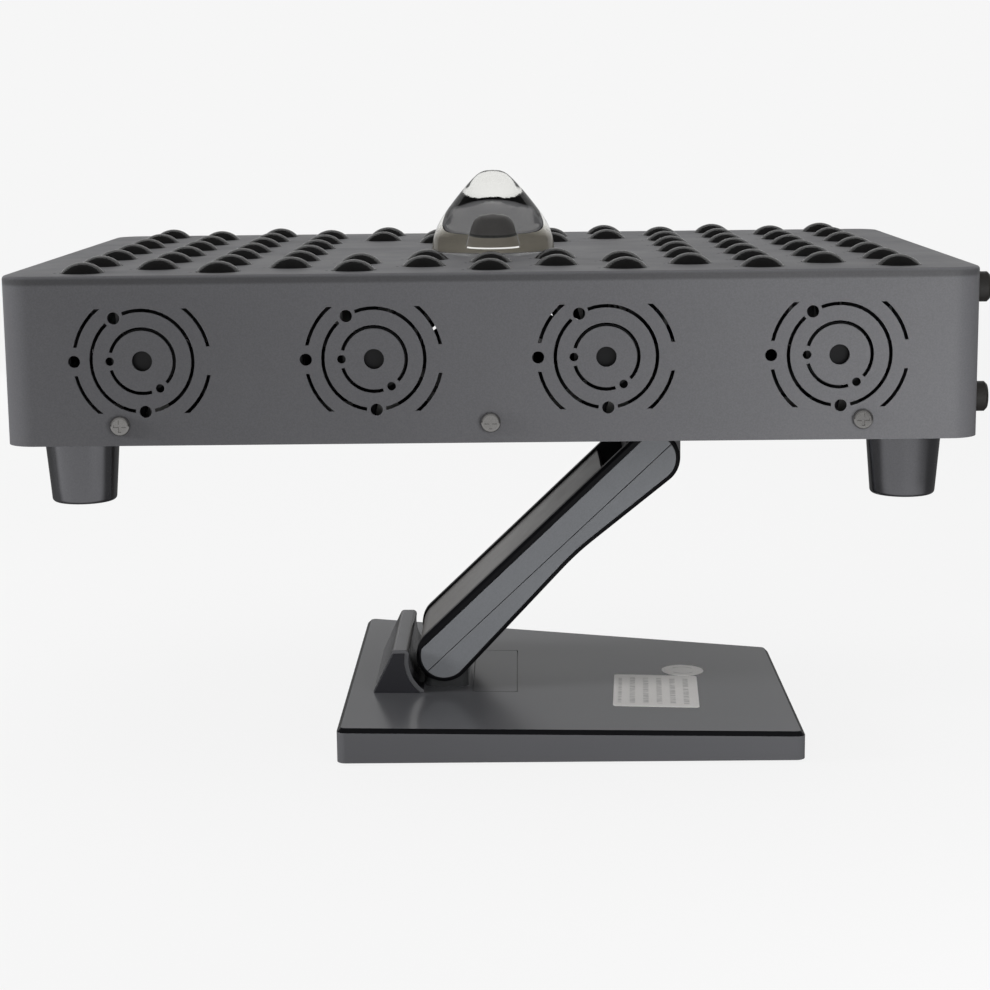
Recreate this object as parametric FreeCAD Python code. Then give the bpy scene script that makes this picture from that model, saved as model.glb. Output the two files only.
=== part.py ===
"""LED grow light on a folding table stand: one STEP file per separate piece.

Millimetres, +X along the head's length, +Y away from the front face, +Z up.
The origin is the centre of the overall box in X and Y, on the table plane.
"""
import math
import os

import FreeCAD
import Part

V = FreeCAD.Vector

# ---- driving dimensions -------------------------------------------------------
HEAD_L = 385.0            # head length, X
HEAD_D = 272.0            # head depth, Y
HEAD_H = 67.0             # head height, Z
HEAD_R = 12.0             # vertical corner radius
SHEET = 1.2               # housing sheet thickness
FIT = 0.3                 # gap between nested pieces
BUMPER_OUT = 5.2          # end bumpers stand out of the right end
ROCKER_OUT = 3.93         # rockers stand out of the left end
HEAD_X = (ROCKER_OUT - BUMPER_OUT) / 2.0
UNDERSIDE = 142.7         # height of the head's underside above the table
TOP = UNDERSIDE + HEAD_H
MID_Z = UNDERSIDE + HEAD_H / 2.0
LEFT = HEAD_X - HEAD_L / 2.0
RIGHT = HEAD_X + HEAD_L / 2.0
HALF_D = HEAD_D / 2.0

LENS_COLS = 13            # columns of small lenses along X
LENS_ROWS = 7             # lenses in an odd column, one fewer in an even one
LENS_DX = 27.0            # column pitch
LENS_DY = 39.0            # pitch within a column
DOME_R = 8.8              # visible dome radius
DOME_H = 4.2              # dome height above the panel
BULB_R = 27.4             # centre lens base radius
BULB_H = 35.5             # centre lens height above the panel
HOLLOW_R = 8.4            # mouth of the centre lens's hollow
HOLLOW_H = 14.6

VENT_PITCH = 91.0         # between neighbouring vents
FAN = 60.0                # fan frame side
FAN_DEPTH = 10.0
FAN_Y = -HALF_D + 2 * (SHEET + FIT)    # front of the fans, behind both walls
SCREW_DX = 146.0          # housing screw spacing
SCREW_Z = UNDERSIDE + 8.1

ARM_W = 69.0              # arm width, Y
CHEEK = 5.0               # arm cheek thickness
ARM_R = 12.3              # arm end radius
ARM_LIFT = 1.3            # the arm's end circles sit above its hinge axes
HINGE_A = V(HEAD_X - 22.8, 0, 30.1)    # lower hinge axis
HINGE_B = V(HEAD_X + 70.5, 0, 118.5)   # upper hinge axis
PIN_R = 4.0
PIN_PLAY = 0.05           # radial clearance of a turning pin
LOW_KNUCKLE_R = 8.0
TOP_KNUCKLE_R = 12.0

BASE_X0 = HEAD_X - 67.2   # base plate, left and right ends
BASE_X1 = HEAD_X + 130.3
BASE_Y0 = -100.0          # straight front edge
BASE_Y1_LEFT = 105.5      # slanted rear edge
BASE_Y1_RIGHT = 49.0
BASE_Z0 = 1.0             # underside, on pads
BASE_TOP_LEFT = 16.0
BASE_TOP_RIGHT = 13.0
BASE_WALL = 2.2
SLOPE = math.degrees(math.atan2(BASE_TOP_LEFT - BASE_TOP_RIGHT, BASE_X1 - BASE_X0))

BOARD_TOP = TOP - 10.0    # LED board's upper face
BOARD_T = 1.6
SINK_TOP = BOARD_TOP - BOARD_T
PLATE_T = 3.0             # head mounting plate
FLOOR = UNDERSIDE + SHEET  # upper face of the back cover's floor


# ---- general helpers ----------------------------------------------------------
def box(x0, x1, y0, y1, z0, z1):
    """Box between two corners."""
    return Part.makeBox(x1 - x0, y1 - y0, z1 - z0, V(x0, y0, z0))


def rod(r, base, direction, length):
    """Cylinder from a base point along a direction."""
    return Part.makeCylinder(r, length, base, direction)


def ring(r_out, r_in, base, direction, length):
    """Plain washer or sleeve."""
    return rod(r_out, base, direction, length).cut(rod(r_in, base, direction, length))


def turned(points, centre):
    """Solid of revolution about a vertical axis from (radius, height) points."""
    wire = Part.makePolygon([V(r, 0, z) for r, z in points + points[:1]])
    solid = Part.Face(wire).revolve(V(0, 0, 0), V(0, 0, 1), 360)
    solid.translate(centre)
    return solid


def prism_y(wire, y0, y1):
    """Closed XZ wire drawn at y = 0, pushed out between two depths."""
    face = Part.Face(wire)
    face.translate(V(0, y0, 0))
    return face.extrude(V(0, y1 - y0, 0))


def upright_edges(shape):
    """Straight edges that run along Z."""
    return [e for e in shape.Edges if abs(e.tangentAt(e.FirstParameter).z) > 0.999
            and isinstance(e.Curve, Part.Line)]


def round_box(x0, x1, y0, y1, z0, z1, radius):
    """Box with rounded vertical corners."""
    solid = box(x0, x1, y0, y1, z0, z1)
    return solid.makeFillet(radius, upright_edges(solid))


def fuse(shapes):
    """One solid from touching shapes."""
    body = shapes[0].fuse(shapes[1:])
    return body.removeSplitter()


def group(shapes):
    """Several separate solids in one node."""
    return Part.makeCompound(shapes)


def pan_screw(head_r, head_h, shank_r, shank_len, tip, direction):
    """Pan head cross-recess screw; tip is where the head seats on the surface."""
    head = Part.makeCylinder(head_r, head_h, V(0, 0, 0))
    rim = [e for e in head.Edges if abs(e.BoundBox.ZMin - head_h) < 1e-6
           and abs(e.BoundBox.ZMax - head_h) < 1e-6]
    head = head.makeFillet(head_h * 0.55, rim)
    arm = head_r * 0.62
    slot = head_r * 0.14
    depth = head_h * 0.5
    cross = box(-arm, arm, -slot, slot, head_h - depth, head_h + 1)
    cross = cross.fuse(box(-slot, slot, -arm, arm, head_h - depth, head_h + 1))
    screw = head.cut(cross).fuse(Part.makeCylinder(shank_r, shank_len, V(0, 0, -shank_len)))
    screw.Placement = FreeCAD.Placement(tip, FreeCAD.Rotation(V(0, 0, 1), direction))
    return screw


def save(name, shape):
    """Check that every solid is closed and write the node."""
    if not shape.isValid() or not shape.Solids:
        raise ValueError("bad shape: " + name)
    shape.exportStep("parts/" + name + ".step")


# ---- head: positions -----------------------------------------------------------
def lens_spots():
    """Column number and centre of each small lens, leaving room for the centre lens."""
    spots = []
    middle = (LENS_COLS - 1) // 2
    for col in range(LENS_COLS):
        even = col % 2
        count = LENS_ROWS - even
        for row in range(count):
            edge = min(row, count - 1 - row)
            if abs(col - middle) <= 2 and edge > 1:
                continue
            x = HEAD_X + (col - middle) * LENS_DX
            y = (row - (count - 1) / 2.0) * LENS_DY
            spots.append((col, V(x, y, 0)))
    return spots


def vent_spots():
    """Centres of the four vents along the head."""
    return [V(HEAD_X + (i - 1.5) * VENT_PITCH, 0, MID_Z) for i in range(4)]


def corner_spots(dx, dy):
    """Four points about the head's centre."""
    return [V(HEAD_X + sx * dx, sy * dy, 0) for sx in (-1, 1) for sy in (-1, 1)]


def housing_screw_spots():
    """Seats of the housing screws on the front and rear walls."""
    seats = []
    for side in (-1, 1):
        for i in (-1, 0, 1):
            seats.append((V(HEAD_X + i * SCREW_DX, side * HALF_D, SCREW_Z), V(0, side, 0)))
    return seats


def bumper_spots():
    """Seats of the end bumpers on the right end."""
    return [V(RIGHT, sy * (HALF_D - 18.0), UNDERSIDE + z) for sy in (-1, 1) for z in (14.3, 58.0)]


FOOT_DX = 166.0
FOOT_DY = HALF_D - 24.0
VESA = 37.5               # half of the mounting plate's hole spacing
INLET_Y = 62.0            # mains inlet on the left end
SWITCH_YS = (-62.0, -22.0)
SWITCH_W = 13.0           # switch body along Z
SWITCH_L = 19.0           # switch body along Y
ROCKER_TILT = 7.0         # half of a rocker's travel


# ---- head: housing ---------------------------------------------------------------
def arc_slot(centre, radius, width, start, stop):
    """Ring sector in the XZ plane, cut through the whole depth of the head."""
    def at(r, deg):
        a = math.radians(deg)
        return V(centre.x + r * math.cos(a), 0, centre.z + r * math.sin(a))
    inner = radius - width / 2.0
    outer = radius + width / 2.0
    mid = (start + stop) / 2.0
    edges = [Part.Arc(at(outer, start), at(outer, mid), at(outer, stop)).toShape(),
             Part.makeLine(at(outer, stop), at(inner, stop)),
             Part.Arc(at(inner, stop), at(inner, mid), at(inner, start)).toShape(),
             Part.makeLine(at(inner, start), at(outer, start))]
    return prism_y(Part.Wire(edges), -HALF_D - 1, HALF_D + 1)


def vent_hole(centre, radius, ring_radius, deg):
    """Round hole on a vent ring, cut through the whole depth of the head."""
    a = math.radians(deg)
    base = V(centre.x + ring_radius * math.cos(a), -HALF_D - 1,
             centre.z + ring_radius * math.sin(a))
    return rod(radius, base, V(0, 1, 0), HEAD_D + 2)


def vent_cutters(centre):
    """Centre hole, two broken ring slots, four outer arcs and the locating holes."""
    inner, middle, outer = 12.7, 20.0, 26.7
    width = 1.4
    cuts = [vent_hole(centre, 4.0, 0.0, 0.0)]
    for deg in (180.0, 302.0):
        cuts.append(vent_hole(centre, 1.7, inner, deg))
    cuts.append(arc_slot(centre, inner, width, 195.8, 286.2))
    cuts.append(arc_slot(centre, inner, width, -42.2, 164.2))
    for deg in (122.0, 272.0):
        cuts.append(vent_hole(centre, 2.4, middle, deg))
    cuts.append(arc_slot(centre, middle, width, 132.8, 261.2))
    cuts.append(arc_slot(centre, middle, width, -77.2, 111.2))
    cuts.append(vent_hole(centre, 2.4, outer, 180.0))
    for side, way in ((0.0, 1), (180.0, -1)):
        for up in (-1, 1):
            arc = arc_slot(centre, outer, width, side + way * up * 8.0, side + way * up * 56.0)
            z0, z1 = sorted((centre.z + up * 5.6, centre.z + up * 20.6))
            cuts.append(arc.common(box(centre.x - 40, centre.x + 40, -HALF_D - 2, HALF_D + 2,
                                       z0, z1)))
    return cuts


def head_shell():
    """Deep cover: lens panel and four walls in one folded sheet, open below."""
    shell = round_box(LEFT, RIGHT, -HALF_D, HALF_D, UNDERSIDE, TOP, HEAD_R)
    rim = [e for e in shell.Edges if e.BoundBox.ZMin > TOP - 1e-3]
    shell = shell.makeFillet(1.5, rim)
    inside = round_box(LEFT + SHEET, RIGHT - SHEET, SHEET - HALF_D, HALF_D - SHEET,
                       UNDERSIDE - 1, TOP - SHEET, HEAD_R - SHEET)
    shell = shell.cut(inside)
    cuts = []
    for _, spot in lens_spots():
        cuts.append(rod(DOME_R + FIT, spot + V(0, 0, TOP - 5), V(0, 0, 1), 10))
        cuts.append(rod(0.7, spot + V(-10.6, -3.0, TOP - 5), V(0, 0, 1), 10))
    cuts.append(rod(BULB_R + FIT, V(HEAD_X, 0, TOP - 5), V(0, 0, 1), 10))
    for centre in vent_spots():
        cuts.extend(vent_cutters(centre))
    for seat, out in housing_screw_spots():
        cuts.append(rod(2.1, seat + out * 2, out * -1, 6))
    for seat in bumper_spots():
        cuts.append(rod(3.1, seat + V(2, 0, 0), V(-1, 0, 0), 6))
    cuts.append(box(LEFT - 2, LEFT + 4, INLET_Y - 13.9, INLET_Y + 13.9, MID_Z - 10.1, MID_Z + 10.1))
    for y in SWITCH_YS:
        cuts.append(box(LEFT - 2, LEFT + 4, y - SWITCH_L / 2 - 0.3, y + SWITCH_L / 2 + 0.3,
                        MID_Z - SWITCH_W / 2 - 0.3, MID_Z + SWITCH_W / 2 + 0.3))
    return shell.cut(group(cuts))


def back_cover():
    """Shallow tray that closes the head from below, held by the side screws."""
    gap = SHEET + FIT
    tray = round_box(LEFT + gap, RIGHT - gap, gap - HALF_D, HALF_D - gap,
                     UNDERSIDE, UNDERSIDE + 11.0, HEAD_R - gap)
    wall = gap + SHEET
    tray = tray.cut(round_box(LEFT + wall, RIGHT - wall, wall - HALF_D, HALF_D - wall,
                              FLOOR, UNDERSIDE + 20.0, HEAD_R - wall))
    cuts = [rod(2.1, seat + out * 2, out * -1, 8) for seat, out in housing_screw_spots()]
    for spot in corner_spots(FOOT_DX, FOOT_DY) + corner_spots(VESA, VESA):
        cuts.append(rod(2.1, spot + V(0, 0, UNDERSIDE - 2), V(0, 0, 1), 8))
    for seat in bumper_spots():
        cuts.append(rod(4.6, seat, V(-1, 0, 0), 8))
    return tray.cut(group(cuts))


def tapered_feet():
    """Four tapered feet with a countersunk screw well."""
    feet = []
    top_r, low_r, height, edge = 15.0, 12.9, 25.5, 1.6
    for spot in corner_spots(FOOT_DX, FOOT_DY):
        foot = Part.makeCone(low_r, top_r, height, spot + V(0, 0, UNDERSIDE - height))
        low = [e for e in foot.Edges if e.BoundBox.ZMax < UNDERSIDE - height + 1e-3]
        foot = foot.makeFillet(edge, low)
        foot = foot.cut(rod(5.0, spot + V(0, 0, UNDERSIDE - height - 1), V(0, 0, 1), 17))
        feet.append(foot.cut(rod(2.1, spot + V(0, 0, UNDERSIDE - height), V(0, 0, 1), 30)))
    return group(feet)


def foot_screws():
    """Screws up through the feet into the back cover."""
    seat_z = UNDERSIDE - 25.5 + 16.0
    return group([pan_screw(4.0, 2.4, 2.0, 13.0, s + V(0, 0, seat_z), V(0, 0, -1))
                  for s in corner_spots(FOOT_DX, FOOT_DY)])


def end_bumpers():
    """Push-in rubber bumpers: chamfered button, stem and inner flange."""
    parts = []
    for seat in bumper_spots():
        button = rod(6.0, seat, V(1, 0, 0), BUMPER_OUT)
        face = [e for e in button.Edges if e.BoundBox.XMin > seat.x + BUMPER_OUT - 1e-3]
        button = button.makeChamfer(1.0, face)
        stem = rod(3.0, seat, V(-1, 0, 0), SHEET)
        flange = rod(4.2, seat - V(SHEET, 0, 0), V(-1, 0, 0), 1.6)
        parts.append(fuse([button, stem, flange]))
    return group(parts)


# ---- head: optics and light engine -------------------------------------------------
def small_lens(spot):
    """Dome on a short stalk, with a flange that the panel holds down."""
    curve_r = (DOME_R ** 2 + DOME_H ** 2) / (2 * DOME_H)
    flange_z = TOP - SHEET - FIT
    body = turned([(0, BOARD_TOP + 3), (3.6, BOARD_TOP + 3), (3.6, BOARD_TOP), (5.4, BOARD_TOP),
                   (5.4, flange_z - 1.2), (9.9, flange_z - 1.2), (9.9, flange_z),
                   (DOME_R, flange_z), (DOME_R, TOP), (0, TOP)], spot)
    ball = Part.makeSphere(curve_r, spot + V(0, 0, TOP + DOME_H - curve_r))
    cap = ball.common(rod(DOME_R, spot + V(0, 0, TOP - 0.5), V(0, 0, 1), DOME_H + 1))
    return fuse([body, cap])


def centre_lens():
    """Bullet-shaped condenser lens with a hidden flange and a hollow for the emitter."""
    flange_z = TOP - SHEET - FIT
    low = flange_z - 2.6
    side = Part.BSplineCurve()
    side.interpolate([V(BULB_R, 0, TOP), V(26.2, 0, TOP + 7.0), V(23.2, 0, TOP + 13.6),
                      V(18.2, 0, TOP + 20.8), V(12.8, 0, TOP + 27.4), V(7.4, 0, TOP + 33.0),
                      V(0, 0, TOP + BULB_H)],
                     InitialTangent=V(-0.1, 0, 1), FinalTangent=V(-1, 0, 0))
    edges = [side.toShape()]
    dome = [V(0, 0, low + HOLLOW_H), V(3.6, 0, low + HOLLOW_H - 1.0), V(5.2, 0, low + HOLLOW_H - 2.8)]
    edges.append(Part.Arc(*dome).toShape())
    corner = [dome[2], V(HOLLOW_R, 0, low), V(30.0, 0, low), V(30.0, 0, flange_z),
              V(BULB_R, 0, flange_z), V(BULB_R, 0, TOP)]
    edges.append(Part.makeLine(V(0, 0, TOP + BULB_H), dome[0]))
    for a, b in zip(corner, corner[1:]):
        edges.append(Part.makeLine(a, b))
    face = Part.Face(Part.Wire(Part.__sortEdges__(edges)))
    lens = face.revolve(V(0, 0, 0), V(0, 0, 1), 360)
    lens.translate(V(HEAD_X, 0, 0))
    return lens


def lens_holder():
    """Reflector cup between the emitter and the centre lens, with a seat for the lens."""
    top = TOP - SHEET - FIT - 2.6
    wall = ring(31.0, 24.0, V(HEAD_X, 0, SINK_TOP), V(0, 0, 1), top - SINK_TOP)
    seat = ring(25.0, HOLLOW_R + 3.2, V(HEAD_X, 0, top - 1.2), V(0, 0, 1), 1.2)
    return fuse([wall, seat])


def cob_board():
    """Square carrier of the centre emitter."""
    return box(HEAD_X - 16, HEAD_X + 16, -16, 16, SINK_TOP, SINK_TOP + 2.0)


def cob_emitter():
    """Round phosphor field of the centre emitter."""
    return rod(11.0, V(HEAD_X, 0, SINK_TOP + 2.0), V(0, 0, 1), 1.2)


def led_board():
    """Metal-core board under the lens panel."""
    board = box(HEAD_X - 176, HEAD_X + 176, -122.6, 122.6, SINK_TOP, BOARD_TOP)
    return board.cut(rod(31.4, V(HEAD_X, 0, SINK_TOP - 1), V(0, 0, 1), 5))


def led_chips():
    """One surface-mount emitter under each small lens."""
    return group([box(s.x - 2.5, s.x + 2.5, s.y - 2.5, s.y + 2.5, BOARD_TOP, BOARD_TOP + 1.2)
                  for _, s in lens_spots()])


def heatsink():
    """Finned aluminium plate that carries the LED board."""
    base = box(HEAD_X - 170, HEAD_X + 170, -112, 112, SINK_TOP - 3.0, SINK_TOP)
    fins = [box(HEAD_X + i * 10.0 - 0.6, HEAD_X + i * 10.0 + 0.6, -112, 112,
                SINK_TOP - 21.0, SINK_TOP - 3.0) for i in range(-16, 17)]
    return fuse([base] + fins)


# ---- head: fans, power and controls ------------------------------------------------
def fan_frame(centre):
    """Square frame with a hub carried on three struts at the inner side."""
    half = FAN / 2.0
    y0, y1 = FAN_Y, FAN_Y + FAN_DEPTH
    frame = box(centre.x - half, centre.x + half, y0, y1, centre.z - half, centre.z + half)
    mouth = V(centre.x, y0 - 1, centre.z)
    frame = frame.cut(rod(28.6, mouth, V(0, 1, 0), FAN_DEPTH + 2))
    struts = []
    for deg in (30.0, 150.0, 270.0):
        strut = box(centre.x, centre.x + 29.2, y1 - 1.8, y1, centre.z - 1.2, centre.z + 1.2)
        strut.rotate(centre, V(0, 1, 0), deg)
        struts.append(strut)
    hub = rod(12.0, V(centre.x, y1 - 1.8, centre.z), V(0, 1, 0), 1.8)
    frame = fuse([frame, hub] + struts)
    cuts = [rod(1.5 + PIN_PLAY, mouth, V(0, 1, 0), FAN_DEPTH + 2)]
    for sx in (-1, 1):
        for sz in (-1, 1):
            cuts.append(rod(2.2, mouth + V(sx * 25, 0, sz * 25), V(0, 1, 0), FAN_DEPTH + 2))
    return frame.cut(group(cuts))


def fan_rotor(centre):
    """Hub cup, seven pitched blades and the shaft."""
    y0 = FAN_Y + 0.6
    hub = rod(12.5, V(centre.x, y0, centre.z), V(0, 1, 0), 7.0)
    blades = []
    for i in range(7):
        blade = box(centre.x + 11.0, centre.x + 27.4, y0 + 2.9, y0 + 4.1,
                    centre.z - 5.4, centre.z + 5.4)
        blade.rotate(V(centre.x, y0 + 3.5, centre.z), V(1, 0, 0), 32)
        blade.rotate(centre, V(0, 1, 0), i * 360.0 / 7)
        blades.append(blade)
    shaft = rod(1.5, V(centre.x, y0 + 7.0, centre.z), V(0, 1, 0), 2.0)
    return fuse([hub, shaft] + blades)


def fan_rail():
    """Angle strip on the back cover's floor that holds the fans against the front wall."""
    back = FAN_Y + FAN_DEPTH
    foot = box(HEAD_X - 168, HEAD_X + 168, back - 7, back + 8, FLOOR, FLOOR + 1.2)
    lip = box(HEAD_X - 168, HEAD_X + 168, back, back + 1.2, FLOOR, FLOOR + 14)
    return fuse([foot, lip])


def led_driver(x, y):
    """Potted driver block with two mounting ears."""
    body = round_box(x - 58, x + 58, y - 28, y + 28, FLOOR, FLOOR + 24, 3.0)
    ears = box(x - 66, x + 66, y - 9, y + 9, FLOOR, FLOOR + 1.5)
    return fuse([body, ears])


def mains_inlet():
    """Flush appliance inlet: flange, body and a recess with three blades."""
    x = LEFT
    flange = round_box(x - 1.6, x, INLET_Y - 16, INLET_Y + 16, MID_Z - 12, MID_Z + 12, 0.5)
    body = box(x, x + 22, INLET_Y - 13.6, INLET_Y + 13.6, MID_Z - 9.8, MID_Z + 9.8)
    recess = box(x - 3, x + 15, INLET_Y - 12, INLET_Y + 12, MID_Z - 8.2, MID_Z + 8.2)
    shell = fuse([flange, body]).cut(recess)
    blades = [box(x + 6, x + 16, INLET_Y + y - 1.0, INLET_Y + y + 1.0, MID_Z + z - 2, MID_Z + z + 2)
              for y, z in ((-7, -2), (0, 2), (7, -2))]
    return fuse([shell] + blades)


def switch_housing(y):
    """Rocker switch body with its bezel, snapped into the left end."""
    x = LEFT
    bezel = round_box(x - 1.4, x, y - 11.5, y + 11.5, MID_Z - 8.5, MID_Z + 8.5, 0.5)
    body = box(x, x + 16, y - SWITCH_L / 2, y + SWITCH_L / 2, MID_Z - SWITCH_W / 2,
               MID_Z + SWITCH_W / 2)
    well = box(x - 3, x + 9, y - 8.3, y + 8.3, MID_Z - 5.2, MID_Z + 5.2)
    pivots = [rod(1.2, V(x + 1.5, y, MID_Z + s * 5.3), V(0, 0, -s), 1.2) for s in (-1, 1)]
    return fuse([fuse([bezel, body]).cut(well)] + pivots)


def rocker(y):
    """Rocker key resting with its rear half pressed in."""
    x = LEFT
    outline = [V(x - 3.0, y - 7.9, 0), V(x - 1.3, y, 0), V(x - 3.0, y + 7.9, 0),
               V(x + 2.6, y + 7.4, 0), V(x + 5.0, y, 0), V(x + 2.6, y - 7.4, 0)]
    wire = Part.makePolygon(outline + outline[:1])
    key = Part.Face(wire).extrude(V(0, 0, 9.8))
    key.translate(V(0, 0, MID_Z - 4.9))
    key = key.cut(rod(1.2 + PIN_PLAY, V(x + 1.5, y, MID_Z - 6), V(0, 0, 1), 12))
    key.rotate(V(x + 1.5, y, MID_Z), V(0, 0, 1), ROCKER_TILT)
    return key


# ---- head: mounting bracket ----------------------------------------------------------
def head_bracket():
    """Square mounting plate, neck and the upper hinge knuckle."""
    half = 47.5
    plate = round_box(HEAD_X - half, HEAD_X + half, -half, half, UNDERSIDE - PLATE_T,
                      UNDERSIDE, 4.0)
    right = HINGE_B.x + TOP_KNUCKLE_R
    neck = box(HEAD_X + 36, right, -26, 26, HINGE_B.z + 13.0, UNDERSIDE - PLATE_T)
    pad = box(HEAD_X + 36, right, -26, 26, UNDERSIDE - PLATE_T, UNDERSIDE)
    web = box(HINGE_B.x - TOP_KNUCKLE_R, right, -26, 26, HINGE_B.z, HINGE_B.z + 14.0)
    knuckle = rod(TOP_KNUCKLE_R, HINGE_B + V(0, -26, 0), V(0, 1, 0), 52)
    bracket = fuse([plate, neck, pad, web, knuckle])
    cuts = [rod(PIN_R + PIN_PLAY, HINGE_B + V(0, -30, 0), V(0, 1, 0), 60)]
    for spot in corner_spots(VESA, VESA):
        cuts.append(rod(2.1, spot + V(0, 0, UNDERSIDE - 10), V(0, 0, 1), 20))
    return bracket.cut(group(cuts))


def bracket_screws():
    """Screws that hold the mounting plate to the back cover."""
    return group([pan_screw(4.0, 2.2, 2.0, 7.0, s + V(0, 0, UNDERSIDE - PLATE_T), V(0, 0, -1))
                  for s in corner_spots(VESA, VESA)])


# ---- arm -------------------------------------------------------------------------------
ARM_LEN = (HINGE_B - HINGE_A).Length
ARM_TILT = math.degrees(math.atan2(HINGE_B.z - HINGE_A.z, HINGE_B.x - HINGE_A.x))
WAIST = V(75.0, 0, -6.6)  # low point of the soft bend in the arm's underside


def to_arm(shape):
    """Carry a shape drawn along +X from the lower hinge into the arm's place."""
    shape.rotate(V(0, 0, 0), V(0, 1, 0), -ARM_TILT)
    shape.translate(HINGE_A)
    return shape


def touch(centre_x, radius, side):
    """Point where a line from the waist touches an arm end circle on its underside."""
    dx, dz = WAIST.x - centre_x, WAIST.z - ARM_LIFT
    reach = math.hypot(dx, dz)
    angle = math.atan2(dz, dx) + side * math.acos(radius / reach)
    return V(centre_x + radius * math.cos(angle), 0, ARM_LIFT + radius * math.sin(angle))


def arm_outline(inset, top_inset):
    """Closed outline of the arm's side: two round ends, straight top, waisted underside."""
    r = ARM_R - inset
    top = ARM_R - top_inset
    low = WAIST + V(0, 0, inset)
    side_dx = math.sqrt(max(r * r - top * top, 0.0))
    a, b = touch(0.0, r, -1), touch(ARM_LEN, r, 1)
    z = ARM_LIFT
    edges = [Part.makeLine(V(ARM_LEN + side_dx, 0, z + top), V(-side_dx, 0, z + top)),
             Part.Arc(V(-side_dx, 0, z + top), V(-r, 0, z), a).toShape(),
             Part.makeLine(a, low), Part.makeLine(low, b),
             Part.Arc(b, V(ARM_LEN + r, 0, z), V(ARM_LEN + side_dx, 0, z + top)).toShape()]
    return Part.Wire(edges)


def soften_waist(solid):
    """Round the bend in the arm's underside."""
    bend = [e for e in solid.Edges if isinstance(e.Curve, Part.Line)
            and abs(e.tangentAt(e.FirstParameter).y) > 0.999
            and abs(e.BoundBox.XMin - WAIST.x) < 0.5 and e.BoundBox.ZMax < 0]
    return solid.makeFillet(120.0, bend)


def arm_slab(inset, top_inset, y0, y1):
    """Arm outline pushed out between two depths."""
    return soften_waist(prism_y(arm_outline(inset, top_inset), y0, y1))


PANEL_INSET = 1.8         # side panel's border, and the wider one along the top
PANEL_TOP = 3.2
PANEL_T = 1.0
PANEL_GAP = 0.15          # hairline round each panel
SEAM_TILT = 0.33          # the seam isn't quite parallel to the arm
SEAM_Z = 1.0


def arm_body():
    """Two cheeks joined by a web and three cross ribs, recessed for the side panels."""
    half = ARM_W / 2.0
    inner = half - CHEEK
    cheeks = []
    for side in (-1, 1):
        y0, y1 = sorted((side * inner, side * half))
        cheek = arm_slab(0.0, 0.0, y0, y1)
        outer = side * half
        edge = [e for e in cheek.Edges if abs(e.BoundBox.YMin - outer) < 1e-3
                and abs(e.BoundBox.YMax - outer) < 1e-3
                and e.BoundBox.ZMin > ARM_LIFT + ARM_R - 1e-3]
        cheek = cheek.makeChamfer(1.2, edge)
        y0, y1 = sorted((outer - side * PANEL_T, outer + side))
        cheek = cheek.cut(arm_slab(PANEL_INSET, PANEL_TOP, y0, y1))
        cheeks.append(cheek)
    web = box(17.0, ARM_LEN - 18.0, -inner, inner, -1.5, 1.0)
    ribs = [box(u - 1.5, u + 1.5, -inner, inner, -3.6, 10.4) for u in (24.0, 64.0, ARM_LEN - 28.0)]
    body = fuse(cheeks + [web] + ribs)
    bores = [rod(PIN_R, V(u, -half, 0), V(0, 1, 0), ARM_W) for u in (0.0, ARM_LEN)]
    return to_arm(body.cut(group(bores)))


def arm_top_cover():
    """Plate between the cheeks that rolls over the lower hinge and stops short of the upper."""
    inner = ARM_W / 2.0 - CHEEK - 0.1
    r0, r1 = 10.6, 12.6
    a = math.radians(130.0)
    tip0 = V(r0 * math.cos(a), 0, r0 * math.sin(a))
    tip1 = V(r1 * math.cos(a), 0, r1 * math.sin(a))
    m = math.radians(110.0)
    end = ARM_LEN - 20.0
    edges = [Part.makeLine(V(end, 0, r0), V(0, 0, r0)),
             Part.Arc(V(0, 0, r0), V(r0 * math.cos(m), 0, r0 * math.sin(m)), tip0).toShape(),
             Part.makeLine(tip0, tip1),
             Part.Arc(tip1, V(r1 * math.cos(m), 0, r1 * math.sin(m)), V(0, 0, r1)).toShape(),
             Part.makeLine(V(0, 0, r1), V(end, 0, r1)),
             Part.makeLine(V(end, 0, r1), V(end, 0, r0))]
    return to_arm(prism_y(Part.Wire(edges), -inner, inner))


def arm_under_cover():
    """Plate between the cheeks that closes the arm's waisted underside."""
    inner = ARM_W / 2.0 - CHEEK - 0.1
    skin = arm_slab(0.8, 0.8, -inner, inner).cut(arm_slab(2.8, 2.8, -inner - 1, inner + 1))
    return to_arm(skin.common(box(16.0, ARM_LEN - 17.0, -inner, inner, -ARM_R, -1.6)))


def arm_panel(side, upper):
    """One half of a side panel; a hairline seam runs between the two halves."""
    half = ARM_W / 2.0
    y0, y1 = sorted((side * (half - PANEL_T), side * half))
    panel = arm_slab(PANEL_INSET + PANEL_GAP, PANEL_TOP + PANEL_GAP, y0, y1)
    z0, z1 = (-30, PANEL_GAP) if upper else (-PANEL_GAP, 30)
    cut = box(-30, ARM_LEN + 30, -half - 1, half + 1, z0, z1)
    cut.rotate(V(0, 0, 0), V(0, 1, 0), SEAM_TILT)
    cut.translate(V(0, 0, SEAM_Z))
    return to_arm(panel.cut(cut))


def hinge_pin(axis_point):
    """Steel pin held in both cheeks."""
    reach = ARM_W / 2.0 - PANEL_T - 0.2
    return rod(PIN_R, axis_point + V(0, -reach, 0), V(0, 1, 0), 2 * reach)


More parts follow.
